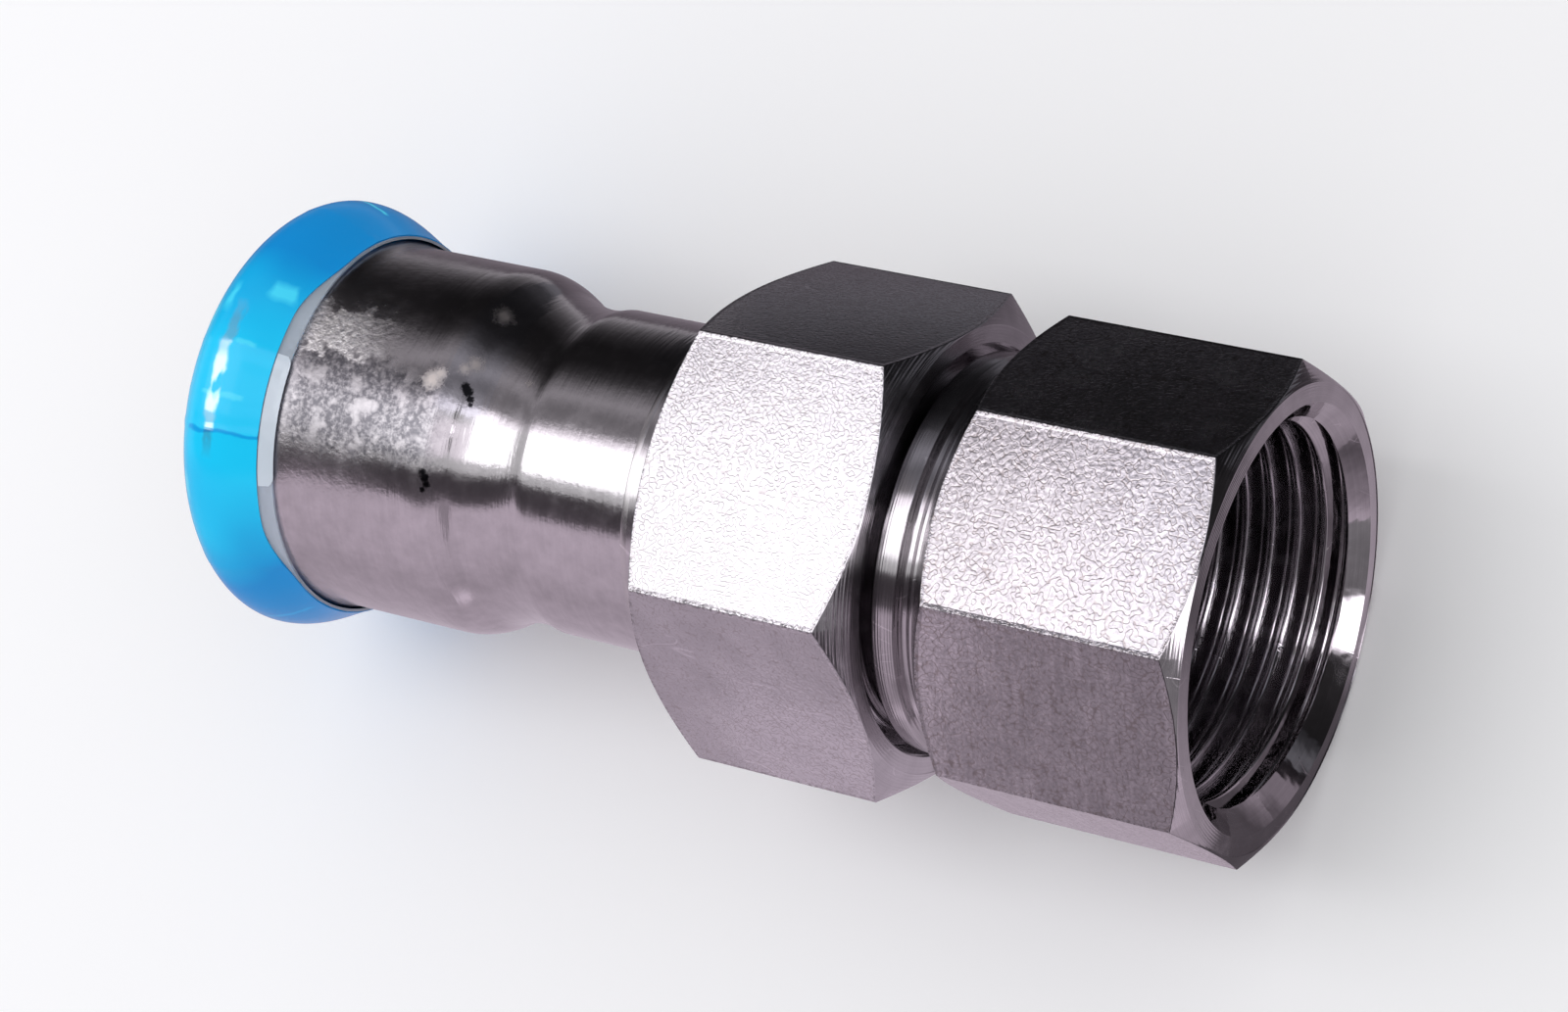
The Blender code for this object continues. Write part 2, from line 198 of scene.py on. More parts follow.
def paper_card(name, corners, skin):
    """A card that only reflections see, also those under a clear film: its glow is a painted
    reflection.
    """
    card = flat_sheet(name, corners, skin)
    card.visible_camera = False
    card.visible_diffuse = False
    card.visible_shadow = False


def level_rectangle(x_range, y_range, z):
    return [(x_range[0], y_range[0], z), (x_range[1], y_range[0], z),
            (x_range[1], y_range[1], z), (x_range[0], y_range[1], z)]


def wall_along_x(x_range, y, high):
    return [(x_range[0], y, TABLE_Z), (x_range[1], y, TABLE_Z),
            (x_range[1], y, high), (x_range[0], y, high)]


half = FLOOR_SIZE / 2
flat_sheet("floor", level_rectangle((-half, half), (-half, half), TABLE_Z),
           plain_material("white_table", FLOOR_COLOUR))
for name, x_range, tones in (
        ("table_card_left", (CARDS_X[0], TABLE_CARD_JOINTS[0]), TABLE_CARD_LEFT),
        ("table_card_mid", TABLE_CARD_JOINTS[:2], TABLE_CARD_MID),
        ("table_card_right", TABLE_CARD_JOINTS[1:], TABLE_CARD_RIGHT),
        ("table_card_end", (TABLE_CARD_JOINTS[2], CARDS_X[1]), TABLE_CARD_END)):
    paper_card(name, level_rectangle(x_range, (NEAR_CARD_Y, FAR_CARD_Y), TABLE_Z + CARD_LIFT),
               toned_paper(name, GREY_PAPER, tones, "Y"))
for name, x_range, tint, tones in (
        ("far_card_left", (CARDS_X[0], FAR_CARD_JOINTS[0]), COOL_PAPER, FAR_CARD_LEFT),
        ("far_card_mid", FAR_CARD_JOINTS, COOL_PAPER, FAR_CARD_MID),
        ("far_card_right", (FAR_CARD_JOINTS[1], CARDS_X[1]), BLUE_PAPER, FAR_CARD_RIGHT)):
    paper_card(name, wall_along_x(x_range, FAR_CARD_Y, tones[-1][0]),
               toned_paper(name, tint, tones, "Z"))
for name, x_range, tones in (
        ("near_card_left", (CARDS_X[0], NEAR_CARD_JOINTS[0]), NEAR_CARD_LEFT),
        ("near_card_mid", NEAR_CARD_JOINTS[:2], NEAR_CARD_MID),
        ("near_card_right", NEAR_CARD_JOINTS[1:], NEAR_CARD_RIGHT),
        ("near_card_end", (NEAR_CARD_JOINTS[2], CARDS_X[1]), NEAR_CARD_END)):
    paper_card(name, wall_along_x(x_range, NEAR_CARD_Y, tones[-1][0]),
               toned_paper(name, GREY_PAPER, tones, "Z"))
paper_card("end_card",
           [(CARDS_X[1], NEAR_CARD_Y, TABLE_Z), (CARDS_X[1], FAR_CARD_Y, TABLE_Z),
            (CARDS_X[1], FAR_CARD_Y, END_CARD_HEIGHT), (CARDS_X[1], NEAR_CARD_Y, END_CARD_HEIGHT)],
           toned_paper("end_card_glow", COOL_PAPER, END_CARD_TONES, "Y"))
paper_card("fill_card", level_rectangle(FILL_CARD_X, FILL_CARD_Y, SOFT_BOX_HEIGHT),
           toned_paper("fill_card_glow", COOL_PAPER, FILL_CARD_TONES, "X"))

lamp = bpy.data.lights.new("soft_box", "AREA")
lamp.shape = "RECTANGLE"
lamp.size = SOFT_BOX_X[1] - SOFT_BOX_X[0]
lamp.size_y = SOFT_BOX_Y[1] - SOFT_BOX_Y[0]
lamp.color = SOFT_BOX_COLOUR
lamp.energy = SOFT_BOX_RADIANCE * pi * lamp.size * lamp.size_y
soft_box = bpy.data.objects.new("soft_box", lamp)
soft_box.location = (sum(SOFT_BOX_X) / 2, sum(SOFT_BOX_Y) / 2, SOFT_BOX_HEIGHT)
bpy.context.scene.collection.objects.link(soft_box)

world = bpy.data.worlds.new("studio")
bpy.context.scene.world = world
world.use_nodes = True
world.node_tree.nodes["Background"].inputs["Color"].default_value = (*WORLD_COLOUR, 1)
bpy.context.scene.view_settings.view_transform = "Standard"


# Formed tube of the press end
# A stainless tube, cold formed in one piece: the neck that the nut runs on, a rolled waist, the
# shoulder that stops the pipe, the cup and the bead that holds the seal ring.
TUBE_WALL = 0.0016
NECK_LENGTH = 0.0101
WAIST_DEPTH = 0.00038
WAIST_HALF_LENGTH = 0.00255
WAIST_TO_SHOULDER = 0.0037
SHOULDER_LENGTH = 0.0038
CUP_LENGTH = 0.0112
CUP_R = 0.0158
BEAD_RISE = 0.0075
BEAD_HEIGHT = 0.0024
NOSE_LENGTH = 0.0036
NOSE_DROP = 0.00305
NECK_R = 0.01395
CROWN_R = CUP_R + BEAD_HEIGHT
TUBE_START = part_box("press_socket")[1].x
NECK_CREASE = TUBE_START - NECK_LENGTH
WAIST = NECK_CREASE - WAIST_HALF_LENGTH
SHOULDER_CREASE = WAIST - WAIST_TO_SHOULDER
CUP_START = SHOULDER_CREASE - SHOULDER_LENGTH
BEAD_FOOT = CUP_START - CUP_LENGTH
CROWN = BEAD_FOOT - BEAD_RISE
ROUND_SEGMENTS = 192
WELD_DISTANCE = 0.0000002
SHARP_ANGLE = radians(28)
STEEL = (0.56, 0.535, 0.55)
# Where the bright neck and shoulder turn into the satin cup
SATIN_X = (CUP_START - 0.001, CUP_START - 0.006)
# On the bright part and the satin one: how dull it is, and how deep its peel and rolling marks are
DULLNESS = (0.13, 0.22)
PEEL_DEPTHS = (0.25, 0.9)
ROLLING_DEPTHS = (1.1, 0.5)
# Dark marks that the forming tool left on the shoulder: place, radius, angle and size
TOOL_MARKS = [(-0.02125, 0.01467, -0.175, 0.00040), (-0.02095, 0.01455, -0.150, 0.00046),
              (-0.02060, 0.0144, -0.115, 0.00034), (-0.02045, 0.01435, -0.085, 0.00024),
              (-0.02285, 0.0155, 0.335, 0.00030), (-0.02262, 0.01545, 0.365, 0.00040),
              (-0.02245, 0.0154, 0.40, 0.00030), (-0.02275, 0.0155, 0.43, 0.00022)]
TOOL_BLACK = (0.03, 0.03, 0.034)
# Matt spots beside them, given in the same way: dull, and with a lighter warm colour that is a
# painted reflection of warm things
MATT_SPOTS = [(-0.0239, 0.01577, -0.16, 0.00075), (-0.0234, 0.0157, -0.20, 0.0005),
              (-0.0215, 0.0149, -0.69, 0.00085), (-0.0212, 0.0148, -0.32, 0.0006),
              (-0.0218, 0.01495, -0.27, 0.00045), (-0.0164, 0.0132, -0.31, 0.0004),
              (-0.0226, 0.0155, 1.9, 0.0007), (-0.0220, 0.0152, 2.9, 0.0006)]
MATT_STEEL = (0.80, 0.74, 0.70)
MATT_SOFT = 0.6
MATT_DULLING = 0.34
# The brushed field on the cup and the frosted one above it: reach along the tube and round it, and
# how soft its edges are each way. The brushed field lies where the soft box's highlight falls on
# the cup, and besides dulling it, its dark blotchy colour is painted shade over that highlight; the
# frosted field's whitish colour is a painted sheen besides its real dulling and peel.
BRUSHED_X = (-0.0362, -0.0236)
BRUSHED_ANGLES = (-0.15, 0.27)
BRUSHED_SOFT = (0.0022, 0.08)
BRUSHED_STEEL = (0.155, 0.15, 0.165)
BRUSHED_DULLING = 0.12
FROSTED_X = (-0.0362, -0.0335)
FROSTED_ANGLES = (-0.43, -0.22)
FROSTED_SOFT = (0.006, 0.05)
FROSTED_STEEL = (0.95, 0.92, 0.90)
FROSTED_DULLING = 0.28
FROSTED_PEEL = 3.4


def span(start, end, steps):
    """Places from start to end, without the first."""
    return [start + (end - start) * i / steps for i in range(1, steps + 1)]


def on_tube(x, r, angle):
    """The point at a place along the pipe axis, a distance from it and an angle round it."""
    return (x, -r * sin(angle), r * cos(angle))


def revolved(name, column_at, angles, finishes, capped=False):
    """A closed mesh whose sections stand round the pipe axis.

    column_at(angle) gives the section as a loop of (x, radius, finish), where finish is the place
    in the list of materials for the face that leads to that point. A capped mesh stops short of a
    full turn, and its first and last sections close it.
    """
    points, faces, skins = [], [], []
    for angle in angles:
        column = column_at(angle)
        points += [on_tube(x, r, angle) for x, r, _ in column]
    count = len(column)
    for i in range(len(angles) - 1):
        here, there = i * count, (i + 1) * count
        for j in range(count):
            after = (j + 1) % count
            faces.append((here + j, here + after, there + after, there + j))
            skins.append(column[after][2])
    if capped:
        faces += [tuple(range(count)), tuple(there + j for j in reversed(range(count)))]
        skins += [0, 0]
    mesh = bpy.data.meshes.new(name)
    mesh.from_pydata(points, [], faces)
    mesh.polygons.foreach_set("material_index", skins)
    form = bmesh.new()
    form.from_mesh(mesh)
    bmesh.ops.remove_doubles(form, verts=form.verts, dist=WELD_DISTANCE)
    bmesh.ops.recalc_face_normals(form, faces=form.faces)
    form.to_mesh(mesh)
    form.free()
    mesh.shade_smooth()
    mesh.set_sharp_from_angle(angle=SHARP_ANGLE)
    for finish in finishes:
        mesh.materials.append(finish)
    piece = bpy.data.objects.new(name, mesh)
    bpy.context.scene.collection.objects.link(piece)
    return piece


def round_angles(count=ROUND_SEGMENTS):
    return [2 * pi * i / count for i in range(count + 1)]


def same_all_round(outline, finish=0):
    """A section that doesn't change with the angle, for plain turned pieces."""
    column = [(x, r, finish) for x, r in outline]
    return lambda angle: column


def waist_radius(x):
    return NECK_R - WAIST_DEPTH + WAIST_DEPTH * ((x - WAIST) / WAIST_HALF_LENGTH) ** 2


def shoulder_radius(x):
    drop = CUP_R - waist_radius(SHOULDER_CREASE)
    return CUP_R - drop * ((x - CUP_START) / SHOULDER_LENGTH) ** 2


def bead_radius(x):
    if x > CROWN:
        share = max(0, (BEAD_FOOT - x) / BEAD_RISE)
        return CUP_R + BEAD_HEIGHT * (1 - cos(pi * share)) / 2
    return CROWN_R - NOSE_DROP * ((CROWN - x) / NOSE_LENGTH) ** 2


def offset_line(line, offset):
    """The same line, moved away from the axis by offset."""
    moved = []
    for i, (x, r) in enumerate(line):
        before = line[max(i - 1, 0)]
        after = line[min(i + 1, len(line) - 1)]
        run, rise = after[0] - before[0], after[1] - before[1]
        reach = hypot(run, rise)
        moved.append((x + rise / reach * offset, r - run / reach * offset))
    return moved


def tube_line():
    line = [(TUBE_START, NECK_R)]
    line += [(x, NECK_R) for x in span(TUBE_START, NECK_CREASE, 16)]
    line += [(x, waist_radius(x)) for x in span(NECK_CREASE, SHOULDER_CREASE, 14)]
    line += [(x, shoulder_radius(x)) for x in span(SHOULDER_CREASE, CUP_START, 10)]
    line += [(x, CUP_R) for x in span(CUP_START, BEAD_FOOT, 18)]
    line += [(x, bead_radius(x)) for x in span(BEAD_FOOT, CROWN, 22)]
    line += [(x, bead_radius(x)) for x in span(CROWN, CROWN - NOSE_LENGTH, 12)]
    return line


def add(tree, kind, **settings):
    node = tree.nodes.new("ShaderNode" + kind)
    for key, value in settings.items():
        setattr(node, key, value)
    return node


def feed(tree, value, socket):
    """Sets a socket from another node's output, or from a plain value."""
    if isinstance(value, bpy.types.NodeSocket):
        tree.links.new(value, socket)
    else:
        socket.default_value = value


def own_place(tree):
    """Places in the piece's own frame, so that a pattern moves with it."""
    return add(tree, "TexCoord").outputs["Object"]


def maths(tree, operation, *values):
    node = add(tree, "Math", operation=operation)
    for value, socket in zip(values, node.inputs):
        feed(tree, value, socket)
    return node.outputs[0]


def remap(tree, value, low, high, to_low=0.0, to_high=1.0):
    """Brings value from the range low to high into another range, and holds it there."""
    node = add(tree, "MapRange")
    for given, socket in zip((value, low, high, to_low, to_high), node.inputs):
        feed(tree, given, socket)
    return node.outputs[0]


def between(tree, share, at_none, at_full):
    """One value where the share is 0 and another where it is 1."""
    return remap(tree, share, 0.0, 1.0, at_none, at_full)


def noise(tree, vector, scale, detail=2.0, roughness=0.5):
    node = add(tree, "TexNoise")
    feed(tree, vector, node.inputs["Vector"])
    feed(tree, scale, node.inputs["Scale"])
    node.inputs["Detail"].default_value = detail
    node.inputs["Roughness"].default_value = roughness
    return node.outputs["Fac"]


def stretched(tree, vector, factors):
    node = add(tree, "VectorMath", operation="MULTIPLY")
    feed(tree, vector, node.inputs[0])
    node.inputs[1].default_value = factors
    return node.outputs[0]


def tinted(tree, colour, tone):
    """A colour made lighter or darker by a tone of about 1."""
    node = add(tree, "VectorMath", operation="SCALE")
    feed(tree, colour, node.inputs[0])
    feed(tree, tone, node.inputs["Scale"])
    return node.outputs[0]


def mixed(tree, factor, first, second):
    """The first colour where the factor is 0, and the second where it is 1."""
    node = add(tree, "Mix", data_type="RGBA")
    feed(tree, factor, node.inputs["Factor"])
    for colour, label in ((first, "A"), (second, "B")):
        feed(tree, colour if isinstance(colour, bpy.types.NodeSocket) else (*colour, 1),
             node.inputs[label])
    return node.outputs["Result"]


def new_group(name, inputs, outputs):
    """A node group with float inputs, given as name and usual value, and float outputs."""
    group = bpy.data.node_groups.new(name, "ShaderNodeTree")
    for label, value in inputs.items():
        socket = group.interface.new_socket(label, in_out="INPUT", socket_type="NodeSocketFloat")
        socket.default_value = value
    for label in outputs:
        group.interface.new_socket(label, in_out="OUTPUT", socket_type="NodeSocketFloat")
    entry = group.nodes.new("NodeGroupInput")
    outlet = group.nodes.new("NodeGroupOutput")
    return group, entry.outputs, outlet.inputs


def placed(tree, group, **values):
    """The group in a material, with its inputs set; underscores stand for spaces."""
    node = tree.nodes.new("ShaderNodeGroup")
    node.node_tree = group
    for label, value in values.items():
        feed(tree, value, node.inputs[label.replace("_", " ")])
    return node.outputs


def bumped(tree, height, strength, distance):
    node = add(tree, "Bump")
    feed(tree, height, node.inputs["Height"])
    node.inputs["Strength"].default_value = strength
    node.inputs["Distance"].default_value = distance
    return node.outputs["Normal"]


def plain_finish(name, roughness, colour=STEEL, metallic=1.0):
    """A finish's material, its node tree and its Principled shader; a metal's unless told."""
    made = bpy.data.materials.new(name)
    made.use_nodes = True
    shader = made.node_tree.nodes["Principled BSDF"]
    shader.inputs["Base Color"].default_value = (*colour, 1)
    shader.inputs["Metallic"].default_value = metallic
    shader.inputs["Roughness"].default_value = roughness
    return made, made.node_tree, shader


def times(tree, first, second):
    return maths(tree, "MULTIPLY", first, second)


def plus(tree, value, more, share):
    """The value, with a share of another one added."""
    return maths(tree, "ADD", value, times(tree, more, share))


def strongest(tree, masks):
    """The highest of several masks."""
    top = masks[0]
    for mask in masks[1:]:
        top = maths(tree, "MAXIMUM", top, mask)
    return top


def axis_parts(tree):
    """Place along the pipe axis, distance from it and angle round it, in the piece's own frame."""
    parts = add(tree, "SeparateXYZ")
    feed(tree, own_place(tree), parts.inputs[0])
    across = times(tree, parts.outputs[1], parts.outputs[1])
    up = times(tree, parts.outputs[2], parts.outputs[2])
    angle = maths(tree, "ARCTAN2", times(tree, parts.outputs[1], -1.0), parts.outputs[2])
    return parts.outputs[0], maths(tree, "SQRT", maths(tree, "ADD", across, up)), angle


def make_metal_mottle():
    """Soft uneven patches and a fine grain, as on formed or pickled steel."""
    group, given, out = new_group("metal_mottle", {"Patch Scale": 300.0, "Grain Scale": 4000.0},
                                  ["Grain", "Tone", "Patches"])
    place = own_place(group)
    patches = noise(group, place, given["Patch Scale"], 4.0, 0.55)
    feed(group, noise(group, place, given["Grain Scale"], 2.0, 0.6), out["Grain"])
    feed(group, remap(group, patches, 0.3, 0.7, 0.90, 1.06), out["Tone"])
    feed(group, remap(group, patches, 0.5, 0.68), out["Patches"])
    return group


metal_mottle = make_metal_mottle()


def speck(tree, place, centre, size, soft):
    """1 inside a small ragged patch round a point, and 0 outside it."""
    away = add(tree, "VectorMath", operation="DISTANCE")
    feed(tree, place, away.inputs[0])
    away.inputs[1].default_value = centre
    reach = times(tree, noise(tree, place, 2.2 / size, 3.0, 0.7), 2.0 * size)
    share = maths(tree, "DIVIDE", away.outputs["Value"], reach)
    return remap(tree, share, 0.95 - soft, 0.95 + soft, 1.0, 0.0)


def specks(tree, place, spots, soft=0.2):
    """Small ragged patches, given as place along the tube, radius, angle and size."""
    return strongest(tree, [speck(tree, place, on_tube(x, r, angle), size, soft)
                            for x, r, angle, size in spots])


def window(tree, value, low, high, soft):
    """1 where the value lies from low to high, fading to 0 over a soft edge."""
    return times(tree, remap(tree, value, low - soft, low),
                 remap(tree, value, high, high + soft, 1.0, 0.0))


def field(tree, along, angle, x_range, angle_range, soft):
    """1 on a field of the tube, given by its reach along the axis and round it."""
    return times(tree, window(tree, along, *x_range, soft[0]),
                 window(tree, angle, *angle_range, soft[1]))


def make_formed_steel():
    made, tree, shader = plain_finish("formed_steel", 0.16)
    place = own_place(tree)
    along, _, angle = axis_parts(tree)
    satin = remap(tree, along, *SATIN_X)
    mottle = placed(tree, metal_mottle, Patch_Scale=700.0, Grain_Scale=2300.0)
    marks = specks(tree, place, TOOL_MARKS)
    matt = specks(tree, place, MATT_SPOTS, MATT_SOFT)
    uneven = maths(tree, "SUBTRACT", noise(tree, place, 900.0, 3.0, 0.6), 0.5)
    wobble = times(tree, uneven, 0.35)
    turned = maths(tree, "ADD", angle, wobble)
    moved = plus(tree, along, wobble, 0.006)
    brushed = field(tree, moved, turned, BRUSHED_X, BRUSHED_ANGLES, BRUSHED_SOFT)
    frosted = field(tree, moved, turned, FROSTED_X, FROSTED_ANGLES, FROSTED_SOFT)

    streaks = noise(tree, stretched(tree, place, (1.0, 0.07, 0.07)), 2600.0, 3.0, 0.55)
    peel_depth = plus(tree, between(tree, satin, *PEEL_DEPTHS), frosted, FROSTED_PEEL)
    peel = times(tree, maths(tree, "SUBTRACT", mottle["Grain"], 0.5), peel_depth)
    rolled = times(tree, streaks, between(tree, satin, *ROLLING_DEPTHS))
    height = maths(tree, "ADD", peel, rolled)
    feed(tree, bumped(tree, height, 0.55, 0.000045), shader.inputs["Normal"])

    tone = times(tree, mottle["Tone"], remap(tree, streaks, 0.35, 0.7, 0.98, 1.03))
    colour = tinted(tree, STEEL, tone)
    blotches = remap(tree, noise(tree, place, 2400.0, 3.0, 0.65), 0.42, 0.66, 1.0, 0.40)
    patches = remap(tree, noise(tree, place, 520.0, 2.0), 0.54, 0.66, 1.0, 0.30)
    brushing = times(tree, times(tree, brushed, blotches), patches)
    flecks = remap(tree, noise(tree, place, 2000.0, 2.0, 0.6), 0.42, 0.58, 0.35, 1.0)
    frosting = times(tree, frosted, flecks)
    # Into the colour go painted shade on the brushed field, a painted sheen on the frosted one,
    # painted reflections on the matt spots, and the real tool marks.
    for mask, steel in ((brushing, BRUSHED_STEEL), (frosting, FROSTED_STEEL), (matt, MATT_STEEL),
                        (marks, TOOL_BLACK)):
        colour = mixed(tree, mask, colour, steel)
    feed(tree, colour, shader.inputs["Base Color"])

    dull = plus(tree, between(tree, satin, *DULLNESS), mottle["Patches"], 0.05)
    for mask, more in ((brushed, BRUSHED_DULLING), (matt, MATT_DULLING),
                       (frosted, FROSTED_DULLING)):
        dull = plus(tree, dull, mask, more)
    feed(tree, dull, shader.inputs["Roughness"])
    return made


outer_line = tube_line()
inner_line = offset_line(outer_line, -TUBE_WALL)
formed_tube = revolved("formed_tube", same_all_round(outer_line + inner_line[::-1]),
                       round_angles(), [make_formed_steel()])
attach(formed_tube, "press_end")
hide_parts("press_socket")


# Seal ring
# A black rubber ring, moulded with a smooth skin. It is pressed into the bead, where it will grip
# the pipe and seal it.
SEAL_SECTION_R = 0.0012
SEAL_SETBACK = 0.0004
SEAL_STEPS = 24
RUBBER_BLACK = (0.022, 0.022, 0.024)


def make_ring_rubber():
    made, tree, shader = plain_finish("ring_rubber", 0.42, RUBBER_BLACK, metallic=0.0)
    mottle = placed(tree, metal_mottle, Patch_Scale=500.0, Grain_Scale=6000.0)
    feed(tree, bumped(tree, mottle["Grain"], 0.2, 0.00002), shader.inputs["Normal"])
    feed(tree, between(tree, mottle["Patches"], 0.36, 0.5), shader.inputs["Roughness"])
    return made


def seal_outline():
    centre_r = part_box("o_ring")[1].z - SEAL_SECTION_R
    centre_x = CROWN + SEAL_SETBACK
    outline = []
    for i in range(SEAL_STEPS):
        angle = 2 * pi * i / SEAL_STEPS
        outline.append((centre_x + SEAL_SECTION_R * cos(angle),
                        centre_r + SEAL_SECTION_R * sin(angle)))
    return outline


seal_ring = revolved("seal_ring", same_all_round(seal_outline()), round_angles(),
                     [make_ring_rubber()])
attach(seal_ring, "press_end")
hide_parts("o_ring")


# Film on the bead
# A thin plastic film, sky blue, shrunk hot over the bead, where it pleats a little. It shows that
# the joint isn't pressed yet, and tears off once it is.
FILM_THICKNESS = 0.00022
FILM_OFFSET = 0.00052
FILM_START = BEAD_FOOT - 0.0030
FILM_STEPS = 34
FILM_BLUE = (0.005, 0.62, 0.985)
# Painted shade: the blue deepens to this round the ring's sides, away from the lap.
FILM_DEEP_BLUE = (0.003, 0.28, 0.70)
# Fold colours: painted shade in the creases and painted highlights on the ridges.
FILM_FOLD_DARK = (0.0, 0.38, 0.82)
FILM_FOLD_LIGHT = (0.06, 0.72, 1.0)
# The blue stops higher on the bead round the lap: the lap's middle, how far this reaches round it,
# over what angle it fades, and how much lower the blue comes elsewhere
LAP_CENTRE = 0.24
LAP_REACH = 0.55
LAP_FADE = 0.45
FILM_FOOT_SHIFT = 0.00105
# Pleats that stand out: angle, half width and rise; they flatten by this share at the crown
PLEATS = [(0.325, 0.035, 0.00016), (0.155, 0.022, 0.00007), (-0.10, 0.03, 0.00006),
          (1.05, 0.05, 0.0001), (2.2, 0.05, 0.00012), (3.0, 0.06, 0.00014), (-1.0, 0.04, 0.00008),
          (-1.9, 0.05, 0.00012), (-2.6, 0.04, 0.0001)]
PLEAT_CROWN_LOSS = 0.6
# Folds painted into the colour, as painted shade in their creases and painted highlights along
# them: angle, half width, reach along the axis
DARK_FOLDS = [(0.325, 0.009, -0.0446, -0.0380), (2.2, 0.014, -0.0446, -0.0380),
              (3.0, 0.012, -0.0440, -0.0385), (-1.9, 0.014, -0.0446, -0.0380),
              (-2.6, 0.010, -0.0440, -0.0390), (1.5, 0.010, -0.0425, -0.0385)]
LIGHT_FOLDS = [(0.155, 0.010, -0.0434, -0.0402), (-0.40, 0.040, -0.0409, -0.0391),
               (-0.31, 0.060, -0.0443, -0.0439), (-0.21, 0.070, -0.0457, -0.0454),
               (-0.10, 0.012, -0.0416, -0.0404), (0.62, 0.05, -0.0452, -0.0449),
               (2.6, 0.014, -0.0435, -0.0405), (-1.3, 0.012, -0.0430, -0.0405),
               (-2.9, 0.05, -0.0450, -0.0447)]
FOLD_SOFT = 0.0004
# The glossy ridge beside the crown, where the film is taut
GLOSS_X = CROWN + 0.0007
GLOSS_HALF_WIDTH = 0.00065
GLOSS_ANGLES = [(-0.20, 0.36), (2.1, 2.8), (-2.7, -2.2)]
GLOSS_SOFT = 0.1


def film_line(start, end, offset, steps):
    line = [(x, bead_radius(x)) for x in [start] + span(start, end, steps)]
    return offset_line(line, offset)


def angle_between(first, second):
    """How far apart two angles are, the short way round, with its sign."""
    return (first - second + pi) % (2 * pi) - pi


def pleat_height(angle):
    """How far the film's small pleats stand out at an angle round the bead."""
    return sum(rise * max(0, 1 - abs(angle_between(angle, centre)) / width)
               for centre, width, rise in PLEATS)


def folds_seen(tree, along, angle, folds):
    return strongest(tree, [
        field(tree, along, angle, (start, end), (centre - half_width / 2, centre + half_width / 2),
              (FOLD_SOFT, half_width))
        for centre, half_width, start, end in folds])


def make_blue_film():
    made, tree, shader = plain_finish("blue_film", 0.22, FILM_BLUE, metallic=0.0)
    shader.inputs["Specular IOR Level"].default_value = 0.2
    shader.inputs["Coat Roughness"].default_value = 0.07
    shader.inputs["Coat IOR"].default_value = 4.0
    place = own_place(tree)
    along, _, angle = axis_parts(tree)
    wobble = maths(tree, "SUBTRACT", noise(tree, place, 500.0, 2.0, 0.5), 0.5)
    turned = plus(tree, angle, wobble, 0.05)
    moved = plus(tree, along, wobble, 0.0012)

    # The blue is painted deeper the further round the ring from the lap, which faces up towards the
    # soft box: painted shade on the ring's sides, with a random tone added.
    from_lap = maths(tree, "COSINE", maths(tree, "SUBTRACT", angle, LAP_CENTRE))
    stretch = plus(tree, from_lap, noise(tree, place, 90.0, 2.0, 0.4), 0.4)
    colour = mixed(tree, remap(tree, stretch, 0.80, 1.12), FILM_DEEP_BLUE, FILM_BLUE)
    colour = mixed(tree, folds_seen(tree, moved, turned, DARK_FOLDS), colour, FILM_FOLD_DARK)
    colour = mixed(tree, folds_seen(tree, moved, turned, LIGHT_FOLDS), colour, FILM_FOLD_LIGHT)
    feed(tree, colour, shader.inputs["Base Color"])

    from_gloss = maths(tree, "ABSOLUTE", maths(tree, "SUBTRACT", moved, GLOSS_X))
    uneven = noise(tree, stretched(tree, place, (1.0, 0.35, 0.35)), 900.0, 2.0)
    broken = remap(tree, uneven, 0.33, 0.45)
    ridge = times(tree, remap(tree, from_gloss, GLOSS_HALF_WIDTH, GLOSS_HALF_WIDTH / 2), broken)
    taut = strongest(tree, [window(tree, turned, *angles, GLOSS_SOFT) for angles in GLOSS_ANGLES])
    ridge = times(tree, ridge, taut)
    feed(tree, between(tree, ridge, 0.03, 1.0), shader.inputs["Coat Weight"])

    ripples = noise(tree, stretched(tree, place, (0.3, 1.0, 1.0)), 420.0, 2.0, 0.5)
    feed(tree, bumped(tree, ripples, 0.35, 0.00016), shader.inputs["Normal"])
    return made


def film_foot(angle):
    """Where the blue ends: nearer the foot of the bead away from the lap."""
    away = abs(angle_between(angle, LAP_CENTRE))
    share = min(max((away - LAP_REACH) / LAP_FADE, 0), 1)
    return FILM_START + FILM_FOOT_SHIFT * share * share * (3 - 2 * share)


def film_column(angle):
    ends = film_foot(angle), CROWN - NOSE_LENGTH
    inner = film_line(*ends, FILM_OFFSET - FILM_THICKNESS, FILM_STEPS)
    lift = pleat_height(angle)
    raised = []
    for x, r in film_line(*ends, FILM_OFFSET, FILM_STEPS):
        near_crown = max(0, 1 - ((x - CROWN) / BEAD_RISE) ** 2)
        raised.append((x, r + lift * (1 - PLEAT_CROWN_LOSS * near_crown), 0))
    return raised + [(x, r, 0) for x, r in inner[::-1]]


shrunk_film = revolved("shrunk_film", film_column, round_angles(2 * ROUND_SEGMENTS),
                       [make_blue_film()])
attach(shrunk_film, "press_end")
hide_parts("indicator_film")


# Clear rim
# The foot of the same film, which has no colour: a narrow clear band between the blue and the cup,
# with its free edge rolled up a little by the heat.
RIM_START = BEAD_FOOT - 0.0017
RIM_THICKNESS = 0.00014
RIM_OFFSET = 0.00036
RIM_EDGE = 0.0001
RIM_STEPS = 8
RIM_EDGE_STEPS = 4
CLEAR_FILM = (0.82, 0.91, 1.0)


